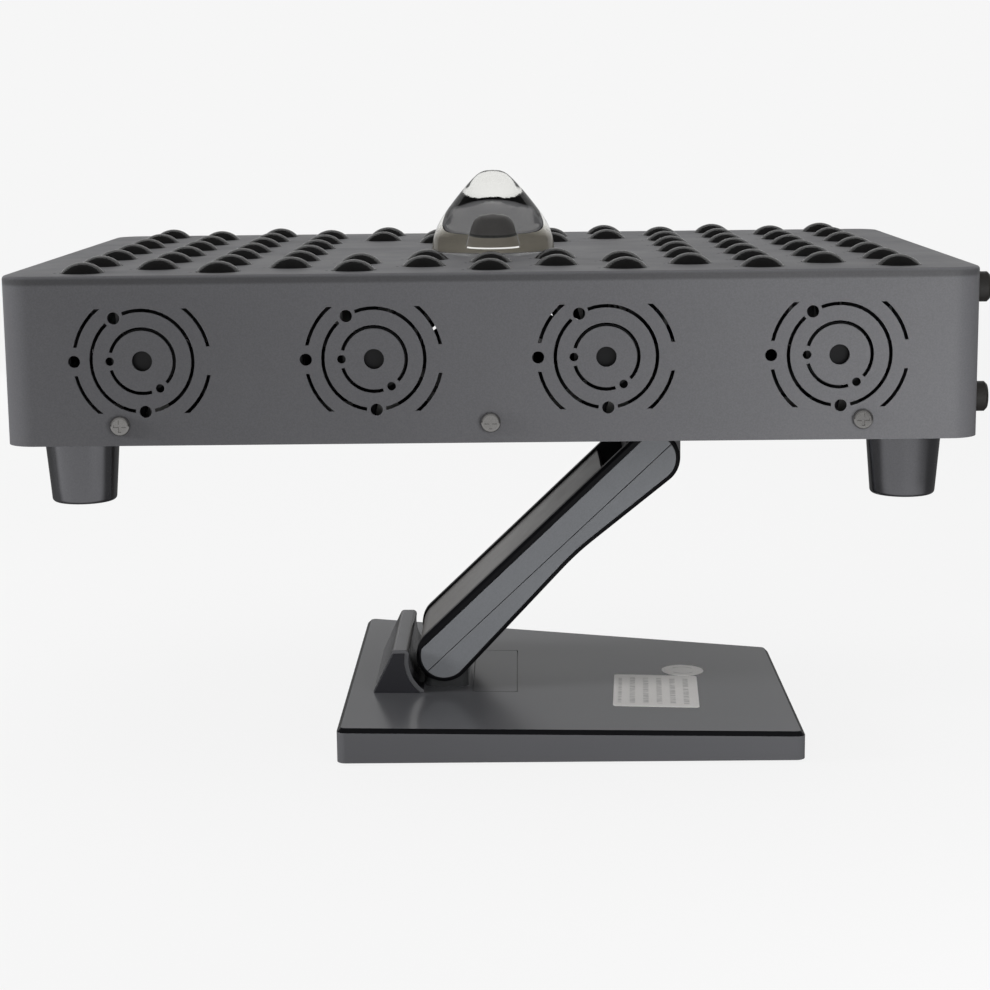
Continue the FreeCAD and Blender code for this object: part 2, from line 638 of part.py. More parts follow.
def hinge_washers(axis_point, inner_face, r_out):
    """Friction washers between the knuckle and the cheeks."""
    outer_face = ARM_W / 2.0 - CHEEK
    low = axis_point + V(0, inner_face, 0)
    high = axis_point + V(0, -outer_face, 0)
    length = outer_face - inner_face
    return group([ring(r_out, PIN_R, low, V(0, 1, 0), length),
                  ring(r_out, PIN_R, high, V(0, 1, 0), length)])


# ---- base --------------------------------------------------------------------------------
def base_top(x):
    """Height of the sloping upper face."""
    t = (x - BASE_X0) / (BASE_X1 - BASE_X0)
    return BASE_TOP_LEFT + t * (BASE_TOP_RIGHT - BASE_TOP_LEFT)


def base_block(inset, z0, drop, radius):
    """Base plan with a slanted rear edge, under a plane parallel to the sloping top."""
    slant = math.atan2(BASE_Y1_LEFT - BASE_Y1_RIGHT, BASE_X1 - BASE_X0)
    back = inset / math.cos(slant)
    tilt = math.tan(slant)
    x0, x1 = BASE_X0 + inset, BASE_X1 - inset
    y_left = BASE_Y1_LEFT - back - inset * tilt
    y_right = BASE_Y1_RIGHT - back + inset * tilt
    plan = [V(x0, BASE_Y0 + inset, z0), V(x1, BASE_Y0 + inset, z0), V(x1, y_right, z0),
            V(x0, y_left, z0)]
    block = Part.Face(Part.makePolygon(plan + plan[:1])).extrude(V(0, 0, 20))
    block = block.makeFillet(radius, upright_edges(block))
    side = [V(BASE_X0 - 5, 0, z0), V(BASE_X1 + 5, 0, z0),
            V(BASE_X1 + 5, 0, base_top(BASE_X1 + 5) - drop),
            V(BASE_X0 - 5, 0, base_top(BASE_X0 - 5) - drop)]
    return block.common(prism_y(Part.makePolygon(side + side[:1]), BASE_Y0 - 5, BASE_Y1_LEFT + 5))


TILE_X = (HEAD_X - 11.0, HEAD_X + 9.2)
TILE_Y = 38.0
BLOCK_Y = 29.0            # half width of the hinge block
CRADLE_Y = 40.2           # half width of the cradle, without its end caps
CRADLE_TOP = HINGE_A.z + 4.8
CRADLE_XS = (HEAD_X - 55.3, HEAD_X - 46.3, HEAD_X - 40.4, HEAD_X - 33.2)
CAP_T = 1.3


def on_top(x, y):
    """Placement on the base's sloping upper face."""
    return FreeCAD.Placement(V(x, y, base_top(x)), FreeCAD.Rotation(V(0, 1, 0), SLOPE))


def stand_screw_spots():
    """Screws up through the base's roof into the hinge block and the cradle."""
    block = [(HINGE_A.x + sx * 4.5, sy * 20.0) for sx in (-1, 1) for sy in (-1, 1)]
    return block + [(HINGE_A.x - 22.5, sy * 30.0) for sy in (-1, 1)]


def base_shell():
    """Bevelled wedge shell, hollow from below."""
    shell = base_block(0.0, BASE_Z0, 0.0, 4.0)
    rim = [e for e in shell.Edges if e.BoundBox.ZMin > base_top(BASE_X1) - 0.5]
    shell = shell.makeChamfer(1.8, rim)
    shell = shell.cut(base_block(BASE_WALL, BASE_Z0 - 1, 2.6, 2.0))
    tile = box(0, TILE_X[1] - TILE_X[0], -TILE_Y, TILE_Y, -1.0, 2.0)
    tile.Placement = on_top(TILE_X[0], 0)
    holes = [rod(1.6, V(x, y, BASE_Z0), V(0, 0, 1), 20) for x, y in stand_screw_spots()]
    return shell.cut(group([tile] + holes))


def base_bottom_cover():
    """Flat plate that closes the base from below."""
    inset = BASE_WALL + FIT
    block = base_block(inset, BASE_Z0, 0.0, 2.0)
    return block.common(box(BASE_X0, BASE_X1, BASE_Y0, BASE_Y1_LEFT, BASE_Z0, BASE_Z0 + 1.4)).cut(
        group([rod(1.7, V(x, y, 0), V(0, 0, 1), 5) for x, y in base_screw_spots()]))


def base_weight():
    """Steel ballast plate with a window under the hinge screws."""
    z0 = BASE_Z0 + 1.5
    block = base_block(BASE_WALL + 6.0, z0, 0.0, 3.0)
    block = block.common(box(BASE_X0, BASE_X1, BASE_Y0, BASE_Y1_LEFT, z0, z0 + 5.2))
    window = box(HINGE_A.x - 30, HINGE_A.x + 14, -37, 37, z0 - 1, z0 + 9)
    holes = [rod(4.0, V(x, y, 0), V(0, 0, 1), 12) for x, y in base_screw_spots()]
    return block.cut(group([window] + holes))


def pad_spots():
    """Four pads near the base's corners."""
    return [(BASE_X0 + 14, BASE_Y0 + 14), (BASE_X1 - 14, BASE_Y0 + 14),
            (BASE_X0 + 14, BASE_Y1_LEFT - 20), (BASE_X1 - 14, BASE_Y1_RIGHT - 14)]


def base_pads():
    """Rubber pads that the object rests on."""
    return group([rod(7.0, V(x, y, 0), V(0, 0, 1), BASE_Z0) for x, y in pad_spots()])


def base_screw_spots():
    """Screws that hold the bottom cover."""
    return [(BASE_X0 + 30, BASE_Y0 + 14), (BASE_X1 - 30, BASE_Y0 + 14),
            (BASE_X0 + 30, BASE_Y1_LEFT - 26), (BASE_X1 - 30, BASE_Y1_RIGHT - 8)]


def base_screws():
    """Low-head screws set in the bottom cover."""
    return group([pan_screw(3.0, 0.8, 1.5, 7.0, V(x, y, BASE_Z0), V(0, 0, -1))
                  for x, y in base_screw_spots()])


def base_bosses():
    """Threaded inserts that stand between the bottom cover and the roof."""
    parts = []
    for x, y in base_screw_spots():
        low = V(x, y, BASE_Z0 + 1.6)
        roof = min(base_top(x - 3), base_top(x + 3)) - 2.7
        parts.append(ring(3.4, 1.6, low, V(0, 0, 1), roof - low.z))
    return group(parts)


def cradle():
    """Low rounded wall beside the lower hinge, hollowed around the hinge axis."""
    top, xs = CRADLE_TOP, CRADLE_XS
    hollow_r = 16.6
    foot = base_top(xs[3])
    outline = [V(xs[0], 0, base_top(xs[0])), V(xs[1], 0, top), V(xs[2] + 3, 0, top),
               V(xs[3] + 6, 0, base_top(xs[3] + 6))]
    body = prism_y(Part.makePolygon(outline + outline[:1]), -CRADLE_Y, CRADLE_Y)
    body = body.cut(rod(hollow_r, HINGE_A + V(0, -60, 0), V(0, 1, 0), 120))
    ridge = [e for e in body.Edges if e.BoundBox.ZMin > top - 1e-3
             and e.BoundBox.YLength > CRADLE_Y]
    body = body.makeFillet(1.9, ridge)
    body = body.common(box(xs[0] - 5, xs[3] + 0.5, -60, 60, foot - 1, top + 1))
    holes = [rod(1.4, V(x, y, base_top(x) - 1), V(0, 0, 1), 9) for x, y in stand_screw_spots()[4:]]
    return body.cut(group(holes))


def cradle_caps():
    """Thin end caps of the cradle, set back from its edge."""
    top, xs = CRADLE_TOP, CRADLE_XS
    outline = [V(xs[0] + 0.4, 0, base_top(xs[0] + 0.4)), V(xs[1] + 0.4, 0, top - 1.4),
               V(xs[2] + 3, 0, top - 1.4), V(xs[3] + 6, 0, base_top(xs[3] + 6))]
    caps = []
    for side in (-1, 1):
        y0, y1 = sorted((side * CRADLE_Y, side * (CRADLE_Y + CAP_T)))
        cap = prism_y(Part.makePolygon(outline + outline[:1]), y0, y1)
        cap = cap.cut(rod(18.4, HINGE_A + V(0, -60, 0), V(0, 1, 0), 120))
        caps.append(cap.common(box(xs[0] - 5, xs[3], -60, 60, base_top(xs[3]) - 1, top)))
    return group(caps)


def hinge_block():
    """Saddle and knuckle that carry the lower hinge pin."""
    x, z = HINGE_A.x, HINGE_A.z
    foot = [V(x - 10, 0, base_top(x - 10)), V(x + 10, 0, base_top(x + 10)),
            V(x + 10, 0, z - 4.4), V(x - 10, 0, z - 4.4)]
    saddle = prism_y(Part.makePolygon(foot + foot[:1]), -BLOCK_Y, BLOCK_Y)
    saddle = saddle.makeFillet(3.6, upright_edges(saddle))
    saddle = saddle.cut(rod(11.4, HINGE_A + V(0, -60, 0), V(0, 1, 0), 120))
    stem = [V(x - 7.5, 0, base_top(x - 7.5)), V(x + 7.5, 0, base_top(x + 7.5)),
            V(x + 7.5, 0, z - 1), V(x - 7.5, 0, z - 1)]
    half = BLOCK_Y - 1.5
    post = prism_y(Part.makePolygon(stem + stem[:1]), -half, half)
    knuckle = rod(LOW_KNUCKLE_R, HINGE_A + V(0, -half, 0), V(0, 1, 0), 2 * half)
    block = fuse([saddle, post, knuckle])
    cuts = [rod(PIN_R + PIN_PLAY, HINGE_A + V(0, -40, 0), V(0, 1, 0), 80)]
    for sx, sy in stand_screw_spots()[:4]:
        cuts.append(rod(1.4, V(sx, sy, base_top(sx) - 1), V(0, 0, 1), 7))
    return block.cut(group(cuts))


def stand_screws():
    """Screws under the base's roof that hold the hinge block and the cradle."""
    return group([pan_screw(3.0, 1.8, 1.4, 7.0, V(x, y, base_top(x) - 2.75), V(0, 0, -1))
                  for x, y in stand_screw_spots()])


def cover_tile():
    """Flush tile in the base beside the hinge."""
    gap = 0.25
    tile = box(gap, TILE_X[1] - TILE_X[0] - gap, gap - TILE_Y, TILE_Y - gap, -1.0, 0.0)
    tile = tile.makeFillet(1.5, upright_edges(tile))
    tile.Placement = on_top(TILE_X[0], 0)
    return tile


def rating_label():
    """Thin blank label on the base."""
    label = box(-18.9, 18.9, -27, 27, 0.0, 0.15)
    label = label.makeFillet(1.6, upright_edges(label))
    label.rotate(V(0, 0, 0), V(0, 0, 1), -3)
    label.Placement = on_top(HEAD_X + 71.2, -34.4).multiply(label.Placement)
    return label


def round_sticker():
    """Thin round sticker on the base."""
    disc = Part.makeCylinder(9.7, 0.15)
    disc.Placement = on_top(HEAD_X + 85.8, 2.0)
    return disc


# ---- write every node -----------------------------------------------------------------------
def main():
    """Build and save each piece."""
    os.makedirs("parts", exist_ok=True)
    spots = lens_spots()
    save("head_shell", head_shell())
    save("back_cover", back_cover())
    save("housing_screws", group([pan_screw(4.0, 2.0, 2.0, 2.8, seat, out)
                                  for seat, out in housing_screw_spots()]))
    save("tapered_feet", tapered_feet())
    save("foot_screws", foot_screws())
    save("end_bumpers", end_bumpers())
    for name, first, last in (("lenses_left", 0, 4), ("lenses_middle", 4, 9),
                              ("lenses_right", 9, LENS_COLS)):
        save(name, group([small_lens(s) for col, s in spots if first <= col < last]))
    save("centre_lens", centre_lens())
    save("lens_holder", lens_holder())
    save("cob_board", cob_board())
    save("cob_emitter", cob_emitter())
    save("led_board", led_board())
    save("led_chips", led_chips())
    save("heatsink", heatsink())
    for i, centre in enumerate(vent_spots(), start=1):
        save("fan_frame_%d" % i, fan_frame(centre))
        save("fan_rotor_%d" % i, fan_rotor(centre))
    save("fan_rail", fan_rail())
    save("led_driver_1", led_driver(HEAD_X - 110, 40.0))
    save("led_driver_2", led_driver(HEAD_X + 110, 40.0))
    save("mains_inlet", mains_inlet())
    for i, y in enumerate(SWITCH_YS, start=1):
        save("switch_housing_%d" % i, switch_housing(y))
        save("rocker_%d" % i, rocker(y))
    save("head_bracket", head_bracket())
    save("bracket_screws", bracket_screws())
    save("arm_body", arm_body())
    save("arm_top_cover", arm_top_cover())
    save("arm_under_cover", arm_under_cover())
    for name, side in (("front", -1), ("rear", 1)):
        save("arm_panel_%s_upper" % name, arm_panel(side, True))
        save("arm_panel_%s_lower" % name, arm_panel(side, False))
    save("lower_hinge_pin", hinge_pin(HINGE_A))
    save("upper_hinge_pin", hinge_pin(HINGE_B))
    save("lower_hinge_washers", hinge_washers(HINGE_A, BLOCK_Y - 1.4, 7.8))
    save("upper_hinge_washers", hinge_washers(HINGE_B, 26.1, 9.0))
    save("hinge_block", hinge_block())
    save("stand_screws", stand_screws())
    save("cradle", cradle())
    save("cradle_caps", cradle_caps())
    save("base_shell", base_shell())
    save("base_bottom_cover", base_bottom_cover())
    save("base_weight", base_weight())
    save("base_bosses", base_bosses())
    save("base_screws", base_screws())
    save("base_pads", base_pads())
    save("cover_tile", cover_tile())
    save("rating_label", rating_label())
    save("round_sticker", round_sticker())


main()
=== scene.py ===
"""Finishes, fine pieces and stage for an LED grow light on a folding table stand."""

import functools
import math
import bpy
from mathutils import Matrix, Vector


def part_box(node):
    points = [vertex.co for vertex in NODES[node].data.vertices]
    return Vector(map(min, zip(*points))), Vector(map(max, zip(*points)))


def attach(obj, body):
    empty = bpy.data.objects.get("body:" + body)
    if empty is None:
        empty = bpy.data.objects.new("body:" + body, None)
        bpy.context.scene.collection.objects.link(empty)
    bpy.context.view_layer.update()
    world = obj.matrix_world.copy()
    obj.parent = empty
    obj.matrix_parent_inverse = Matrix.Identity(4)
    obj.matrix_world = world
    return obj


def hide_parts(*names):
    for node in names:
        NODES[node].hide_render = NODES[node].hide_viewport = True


bl_info = {
    "name": "Grow Light Dressing",
    "version": (1, 0, 0),
    "blender": (4, 5, 0),
    "location": "View3D > Sidebar > Grow Light",
    "description": "Finishes, lenses and stage for an LED grow light on a folding stand",
    "category": "Object",
}

import bmesh
import bpy
import numpy as np
from bpy.props import FloatProperty, FloatVectorProperty, IntProperty, PointerProperty
from mathutils import Matrix, Vector

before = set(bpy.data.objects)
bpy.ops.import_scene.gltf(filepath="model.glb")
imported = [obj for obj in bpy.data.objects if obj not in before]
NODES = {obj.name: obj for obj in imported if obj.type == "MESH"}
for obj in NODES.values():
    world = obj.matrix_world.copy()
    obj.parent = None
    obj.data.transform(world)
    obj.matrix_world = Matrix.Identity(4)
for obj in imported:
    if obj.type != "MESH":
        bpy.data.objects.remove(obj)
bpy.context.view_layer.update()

SHELL_LOW, SHELL_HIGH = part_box("head_shell")
HEAD_X = (SHELL_LOW.x + SHELL_HIGH.x) / 2
PANEL_TOP = SHELL_HIGH.z
CHIP_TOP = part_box("led_chips")[1].z
BULB_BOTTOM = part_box("centre_lens")[0].z
MM = 0.001
FLAT, CRISP = math.radians(0.8), math.radians(30)
DOME_STEPS, CUP_STEPS, BULB_STEPS = 36, 24, 96


# ---- settings -----------------------------------------------------------------------
class GrowLightFinish(bpy.types.PropertyGroup):
    """Colours and finish of the visible surfaces."""
    housing: FloatVectorProperty(
        name="Housing paint", description="Satin paint of the head's sheet metal",
        subtype="COLOR", default=(0.112, 0.112, 0.119), min=0, max=1)
    panel: FloatVectorProperty(
        name="Arm panel", description="Satin plastic of the arm's side panels",
        subtype="COLOR", default=(0.205, 0.213, 0.227), min=0, max=1)
    cover: FloatVectorProperty(
        name="Arm cover", description="Warm dark plastic of the arm's top cover",
        subtype="COLOR", default=(0.098, 0.093, 0.090), min=0, max=1)
    rim: FloatVectorProperty(
        name="Black plastic", description="Black plastic of the arm's frame and the fans",
        subtype="COLOR", default=(0.005, 0.005, 0.006), min=0, max=1)
    base: FloatVectorProperty(
        name="Base plastic", description="Dark satin plastic of the base and the cradle",
        subtype="COLOR", default=(0.125, 0.126, 0.134), min=0, max=1)
    feet: FloatVectorProperty(
        name="Feet", description="Polished plastic of the tapered feet",
        subtype="COLOR", default=(0.24, 0.24, 0.255), min=0, max=1)
    label: FloatVectorProperty(
        name="Label paper", description="Grey paper of the label and the sticker",
        subtype="COLOR", default=(0.84, 0.82, 0.80), min=0, max=1)
    satin: FloatProperty(
        name="Satin roughness", description="Roughness of the painted housing",
        subtype="FACTOR", default=0.42, min=0, max=1)


class GrowLightLenses(bpy.types.PropertyGroup):
    """Sizes of the lenses, as the housing holds them."""
    columns: IntProperty(name="Columns", description="Columns of small lenses", default=13,
                         min=1, max=40)
    rows: IntProperty(name="Rows", description="Lenses in a full column", default=7, min=1,
                      max=40)
    pitch_x: FloatProperty(name="Column pitch", description="Distance between columns",
                           unit="LENGTH", default=0.027, min=0.01, max=0.1)
    pitch_y: FloatProperty(name="Row pitch", description="Distance between rows",
                           unit="LENGTH", default=0.039, min=0.01, max=0.1)
    dome_radius: FloatProperty(name="Dome radius", description="Radius of a small lens",
                               unit="LENGTH", default=0.0088, min=0.001, max=0.02)
    dome_height: FloatProperty(name="Dome height", description="Height above the panel",
                               unit="LENGTH", default=0.0042, min=0.001, max=0.02)


class GrowLightStage(bpy.types.PropertyGroup):
    """Camera, light and backdrop."""
    place: FloatVectorProperty(
        name="Camera place", description="Where the camera stands", subtype="TRANSLATION",
        unit="LENGTH", default=(0.01173, -0.99306, 0.27334))
    pitch: FloatProperty(name="Camera pitch", description="Angle below level",
                         subtype="ANGLE", default=math.radians(10.03))
    yaw: FloatProperty(name="Camera yaw", description="Turn to the left",
                       subtype="ANGLE", default=math.radians(0.738))
    roll: FloatProperty(name="Camera roll", description="Turn about the line of sight",
                        subtype="ANGLE", default=math.radians(-0.649))
    lens: FloatProperty(name="Focal length", description="Focal length on a 36 mm sensor",
                        unit="CAMERA", default=80.04, min=10, max=300)
    key: FloatProperty(name="Key light", description="Power of the light in front, at the right",
                       unit="POWER", default=1.65, min=0, max=1000)
    top: FloatProperty(name="Top light", description="Power of the overhead light",
                       unit="POWER", default=12.0, min=0, max=1000)
    fill: FloatProperty(name="Fill light", description="Power of the light at the left",
                        unit="POWER", default=7.0, min=0, max=1000)
    rear: FloatProperty(name="Rear light", description="Power of the light behind",
                        unit="POWER", default=5.0, min=0, max=1000)
    paper: FloatVectorProperty(
        name="Backdrop", description="Pale paper behind and under the object",
        subtype="COLOR", default=(0.922, 0.922, 0.922), min=0, max=1)


# ---- surfaces -----------------------------------------------------------------------
def mesh_object(name, points, faces, smooth_angle=math.radians(35)):
    """Object from an array of points and a list of face index arrays."""
    mesh = bpy.data.meshes.new(name)
    mesh.from_pydata(points.tolist(), [], [f for block in faces for f in block.tolist()])
    mesh.validate()
    mesh.shade_smooth()
    mesh.set_sharp_from_angle(angle=smooth_angle)
    obj = bpy.data.objects.new(name, mesh)
    bpy.context.scene.collection.objects.link(obj)
    return obj


def turned(profile, centres, steps, loop=False):
    """Surface of revolution about Z, copied to each centre.

    Point (i, j) is centre + (r_i cos a_j, r_i sin a_j, z_i), with a_j = 2 pi j / steps. A profile
    runs from the upper pole to the lower one, or round a closed loop. Also gives each face's
    place along the profile.
    """
    profile = np.asarray(profile, float)
    turn = np.arange(steps) * 2 * math.pi / steps
    inner = profile if loop else profile[1:-1]
    rings = np.stack([np.outer(inner[:, 0], np.cos(turn)), np.outer(inner[:, 0], np.sin(turn)),
                      np.outer(inner[:, 1], np.ones(steps))], axis=-1).reshape(-1, 3)
    count = len(inner)
    i, j = np.meshgrid(np.arange(count if loop else count - 1), np.arange(steps), indexing="ij")
    below, beside = (i + 1) % count, (j + 1) % steps
    quads = np.stack([i * steps + j, below * steps + j, below * steps + beside,
                      i * steps + beside], axis=-1).reshape(-1, 4)
    tris = np.zeros((0, 3), int)
    if not loop:
        poles = np.array([[0, 0, profile[0, 1]], [0, 0, profile[-1, 1]]])
        ring = np.arange(steps)
        last = (count - 1) * steps
        upper = np.stack([np.full(steps, count * steps), ring, (ring + 1) % steps], axis=-1)
        lower = np.stack([np.full(steps, count * steps + 1), last + (ring + 1) % steps,
                          last + ring], axis=-1)
        rings = np.concatenate([rings, poles])
        tris = np.concatenate([upper, lower])
    centres = np.asarray(centres, float).reshape(-1, 1, 3)
    points = (centres + rings).reshape(-1, 3)
    shift = (np.arange(len(centres)) * len(rings)).reshape(-1, 1, 1)
    faces = [(quads + shift).reshape(-1, 4), (tris + shift).reshape(-1, 3)]
    rows = np.concatenate([np.tile(i.reshape(-1) + 1, len(centres)),
                           np.tile(np.repeat([0, count], steps), len(centres) if len(tris) else 0)])
    return points, faces, rows


def smooth_line(knots, steps):
    """Curve through the knots: each span is a cubic whose end slopes join neighbouring knots."""
    knots = np.asarray(knots, float)
    slopes = np.gradient(knots, axis=0)
    slopes[-1] = knots[-1] - knots[-2]
    t = np.linspace(0, 1, steps, endpoint=False)[:, None, None]
    start, end, a, b = knots[:-1], knots[1:], slopes[:-1], slopes[1:]
    line = ((2 * t ** 3 - 3 * t ** 2 + 1) * start + (t ** 3 - 2 * t ** 2 + t) * a
            + (3 * t ** 2 - 2 * t ** 3) * end + (t ** 3 - t ** 2) * b)
    return np.concatenate([line.transpose(1, 0, 2).reshape(-1, 2), knots[-1:]])


def joined_copy(node, name, bevel=0.0):
    """Copy of a CAD piece with its loose triangles joined, its round faces smooth and its
    hard edges crisp, or rounded by a bevel once its flat faces are made whole."""
    source = NODES[node].data
    points = np.empty(len(source.vertices) * 3)
    source.vertices.foreach_get("co", points)
    source.calc_loop_triangles()
    faces = np.empty(len(source.loop_triangles) * 3, np.int32)
    source.loop_triangles.foreach_get("vertices", faces)
    _, first, where = np.unique(np.round(points.reshape(-1, 3), 6), axis=0, return_index=True,
                                return_inverse=True)
    faces = where.reshape(-1)[faces].reshape(-1, 3)
    whole = (faces != np.roll(faces, 1, axis=1)).all(axis=1)
    obj = mesh_object(name, points.reshape(-1, 3)[first], [faces[whole]], CRISP)
    if bevel:
        work = bmesh.new()
        work.from_mesh(obj.data)
        bmesh.ops.dissolve_limit(work, angle_limit=FLAT, verts=work.verts, edges=work.edges)
        work.to_mesh(obj.data)
        work.free()
        obj.data.shade_smooth()
        obj.data.set_sharp_from_angle(angle=CRISP)
        edge = obj.modifiers.new("soft edges", "BEVEL")
        edge.width = bevel
        edge.segments = 2
        edge.limit_method = "ANGLE"
        edge.angle_limit = CRISP
        edge.harden_normals = True
    return obj


def place(obj, body, materials, replaced=(), slots=None):
    """Give a piece its materials, its body and the CAD nodes that it stands for; slots says
    which material each face takes."""
    for material in materials if isinstance(materials, tuple) else (materials,):
        obj.data.materials.append(material)
    if slots is not None:
        obj.data.polygons.foreach_set("material_index", slots.astype(np.int32))
    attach(obj, body)
    if replaced:
        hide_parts(*replaced)


def reskin(node, name, body, material, bevel=0.0):
    """Show a CAD piece by its joined copy; the bevel is in millimetres."""
    place(joined_copy(node, name, bevel * MM), body, material, [node])


def dress(node, material):
    """Give a CAD node its material."""
    data = NODES[node].data
    if not data.materials:
        data.materials.append(material)
    for i in range(len(data.materials)):
        data.materials[i] = material


# ---- shader building ------------------------------------------------------------------
def add(tree, kind, values=None, **settings):
    """New shader node with its settings; each input takes a socket or a plain value."""
    made = tree.nodes.new(kind)
    for key, value in settings.items():
        setattr(made, key, value)
    for key, value in (values or {}).items():
        if isinstance(value, bpy.types.NodeSocket):
            tree.links.new(value, made.inputs[key])
        else:
            made.inputs[key].default_value = value
    return made


def group_tree(name, inputs, outputs):
    """New shader group with sockets given as (name, socket type, default) rows."""
    tree = bpy.data.node_groups.new(name, "ShaderNodeTree")
    for label, kind, default in inputs:
        socket = tree.interface.new_socket(label, in_out="INPUT", socket_type=kind)
        if default is not None:
            socket.default_value = default
    for label, kind in outputs:
        tree.interface.new_socket(label, in_out="OUTPUT", socket_type=kind)
    return tree, add(tree, "NodeGroupInput"), add(tree, "NodeGroupOutput")


FLOAT, COLOUR, VECTOR = "NodeSocketFloat", "NodeSocketColor", "NodeSocketVector"


def math_node(tree, operation, a, b=0.0, clamp=False):
    """Result of a math node; a and b are sockets or numbers."""
    return add(tree, "ShaderNodeMath", {0: a, 1: b}, operation=operation,
               use_clamp=clamp).outputs[0]


def times(tree, first, *others):
    """Product of sockets and numbers."""
    for other in others:
        first = math_node(tree, "MULTIPLY", first, other)
    return first


def noise(tree, vector, scale, detail=2.0, rough=0.5):
    """Noise texture's value; scale is a socket or a number."""
    return add(tree, "ShaderNodeTexNoise", {"Vector": vector, "Scale": scale, "Detail": detail,
                                            "Roughness": rough}).outputs["Fac"]


def spread(tree, value, low, high):
    """Value stretched so that low gives 0 and high gives 1."""
    return add(tree, "ShaderNodeMapRange", {"Value": value, "From Min": low,
                                            "From Max": high}).outputs["Result"]


def within(tree, value, inner, outer):
    """1 where a number is nearer to zero than inner, fading to 0 at outer."""
    return spread(tree, math_node(tree, "ABSOLUTE", value), outer, inner)


def blend_colour(tree, factor, a, b):
    """Mix of two colours; each may be a socket or a plain colour."""
    return add(tree, "ShaderNodeMix", {0: factor, 6: a, 7: b}, data_type="RGBA").outputs[2]


def mapped(tree, vector, **values):
    """Coordinates moved, turned or scaled."""
    return add(tree, "ShaderNodeMapping", {"Vector": vector, **values}).outputs[0]


def axes(tree, vector):
    """X, Y and Z sockets of a vector."""
    return add(tree, "ShaderNodeSeparateXYZ", {0: vector}).outputs


def grain_group():
    """Fine grain: two sizes of noise and small pits, as a height."""
    tree, come, go = group_tree("fine grain", [("Vector", VECTOR, None), ("Scale", FLOAT, 1500.0),
                                               ("Pits", FLOAT, 0.3)], [("Height", FLOAT)])
    spot, scale = come.outputs["Vector"], come.outputs["Scale"]
    fine = noise(tree, spot, scale, 3.0, 0.6)
    coarse_scale = times(tree, scale, 0.27)
    coarse = noise(tree, spot, coarse_scale)
    cells = add(tree, "ShaderNodeTexVoronoi", {"Vector": spot, "Scale": coarse_scale})
    pits = times(tree, spread(tree, cells.outputs["Distance"], 0.18, 0.0), come.outputs["Pits"])
    both = times(tree, math_node(tree, "ADD", fine, coarse), 0.5)
    tree.links.new(math_node(tree, "SUBTRACT", both, pits), go.inputs["Height"])
    return tree


def tone_group():
    """Tone drift: a colour that wanders a little darker and lighter in large soft patches
    and in a fine speckle."""
    tree, come, go = group_tree("tone drift", [("Vector", VECTOR, None), ("Colour", COLOUR, None),
                                               ("Patch", FLOAT, 9.0), ("Patches", FLOAT, 0.12),
                                               ("Speckle", FLOAT, 0.1)],
                                [("Colour", COLOUR)])
    spot = come.outputs["Vector"]
    patch = spread(tree, noise(tree, spot, come.outputs["Patch"], 4.0), 0.3, 0.7)
    speck = spread(tree, noise(tree, spot, 1900.0, 1.0), 0.3, 0.7)
    lift = times(tree, math_node(tree, "SUBTRACT", patch, 0.5), come.outputs["Patches"])
    fine = times(tree, math_node(tree, "SUBTRACT", speck, 0.5), come.outputs["Speckle"])
    gain = math_node(tree, "ADD", math_node(tree, "ADD", lift, fine), 1.0)
    scaled = add(tree, "ShaderNodeVectorMath", {0: come.outputs["Colour"], "Scale": gain},
                 operation="SCALE")
    tree.links.new(scaled.outputs[0], go.inputs["Colour"])
    return tree


def wear_group():
    """Handling wear: smudges as a roughness and thin scratches as a mask."""
    tree, come, go = group_tree("handling wear", [("Vector", VECTOR, None),
                                                  ("Roughness", FLOAT, 0.4),
                                                  ("Smudge", FLOAT, 0.12),
                                                  ("Scratch", FLOAT, 0.15)],
                                [("Roughness", FLOAT), ("Mask", FLOAT)])
    spot = come.outputs["Vector"]
    smudge = spread(tree, noise(tree, spot, 22.0, 5.0, 0.62), 0.35, 0.68)
    stretched = mapped(tree, spot, Scale=(14.0, 90.0, 900.0), Rotation=(0.3, 0.5, 0.9))
    lines = spread(tree, noise(tree, stretched, 3.0), 0.68, 0.72)
    sparse = spread(tree, noise(tree, spot, 31.0), 0.55, 0.62)
    scratch = times(tree, lines, sparse)
    a = times(tree, math_node(tree, "SUBTRACT", smudge, 0.5), come.outputs["Smudge"])
    b = times(tree, scratch, come.outputs["Scratch"])
    total = math_node(tree, "ADD", math_node(tree, "ADD", a, b), come.outputs["Roughness"], True)
    tree.links.new(total, go.inputs["Roughness"])
    tree.links.new(scratch, go.inputs["Mask"])
    return tree


def dust_group():
    """Dust: specks and a thin veil that lie on upward faces."""
    tree, come, go = group_tree("dust", [("Vector", VECTOR, None), ("Normal", VECTOR, None),
                                         ("Colour", COLOUR, None), ("Amount", FLOAT, 0.2)],
                                [("Colour", COLOUR), ("Mask", FLOAT)])
    spot = come.outputs["Vector"]
    up = spread(tree, axes(tree, come.outputs["Normal"])["Z"], 0.3, 0.95)
    veil = spread(tree, noise(tree, spot, 14.0, 5.0, 0.6), 0.42, 0.8)
    specks = spread(tree, noise(tree, spot, 700.0, 1.0), 0.70, 0.76)
    both = math_node(tree, "ADD", times(tree, veil, 0.35), specks)
    mask = math_node(tree, "MULTIPLY", times(tree, both, up), come.outputs["Amount"], True)
    tinted = blend_colour(tree, mask, come.outputs["Colour"], (0.36, 0.34, 0.32, 1))
    tree.links.new(tinted, go.inputs["Colour"])
    tree.links.new(mask, go.inputs["Mask"])
    return tree


@functools.cache
def shared(builder):
    """The node group of a builder, made once."""
    return builder()


def use(tree, builder, **inputs):
    """Place a shared group; inputs are sockets, numbers or colours."""
    return add(tree, "ShaderNodeGroup", inputs, node_tree=shared(builder))


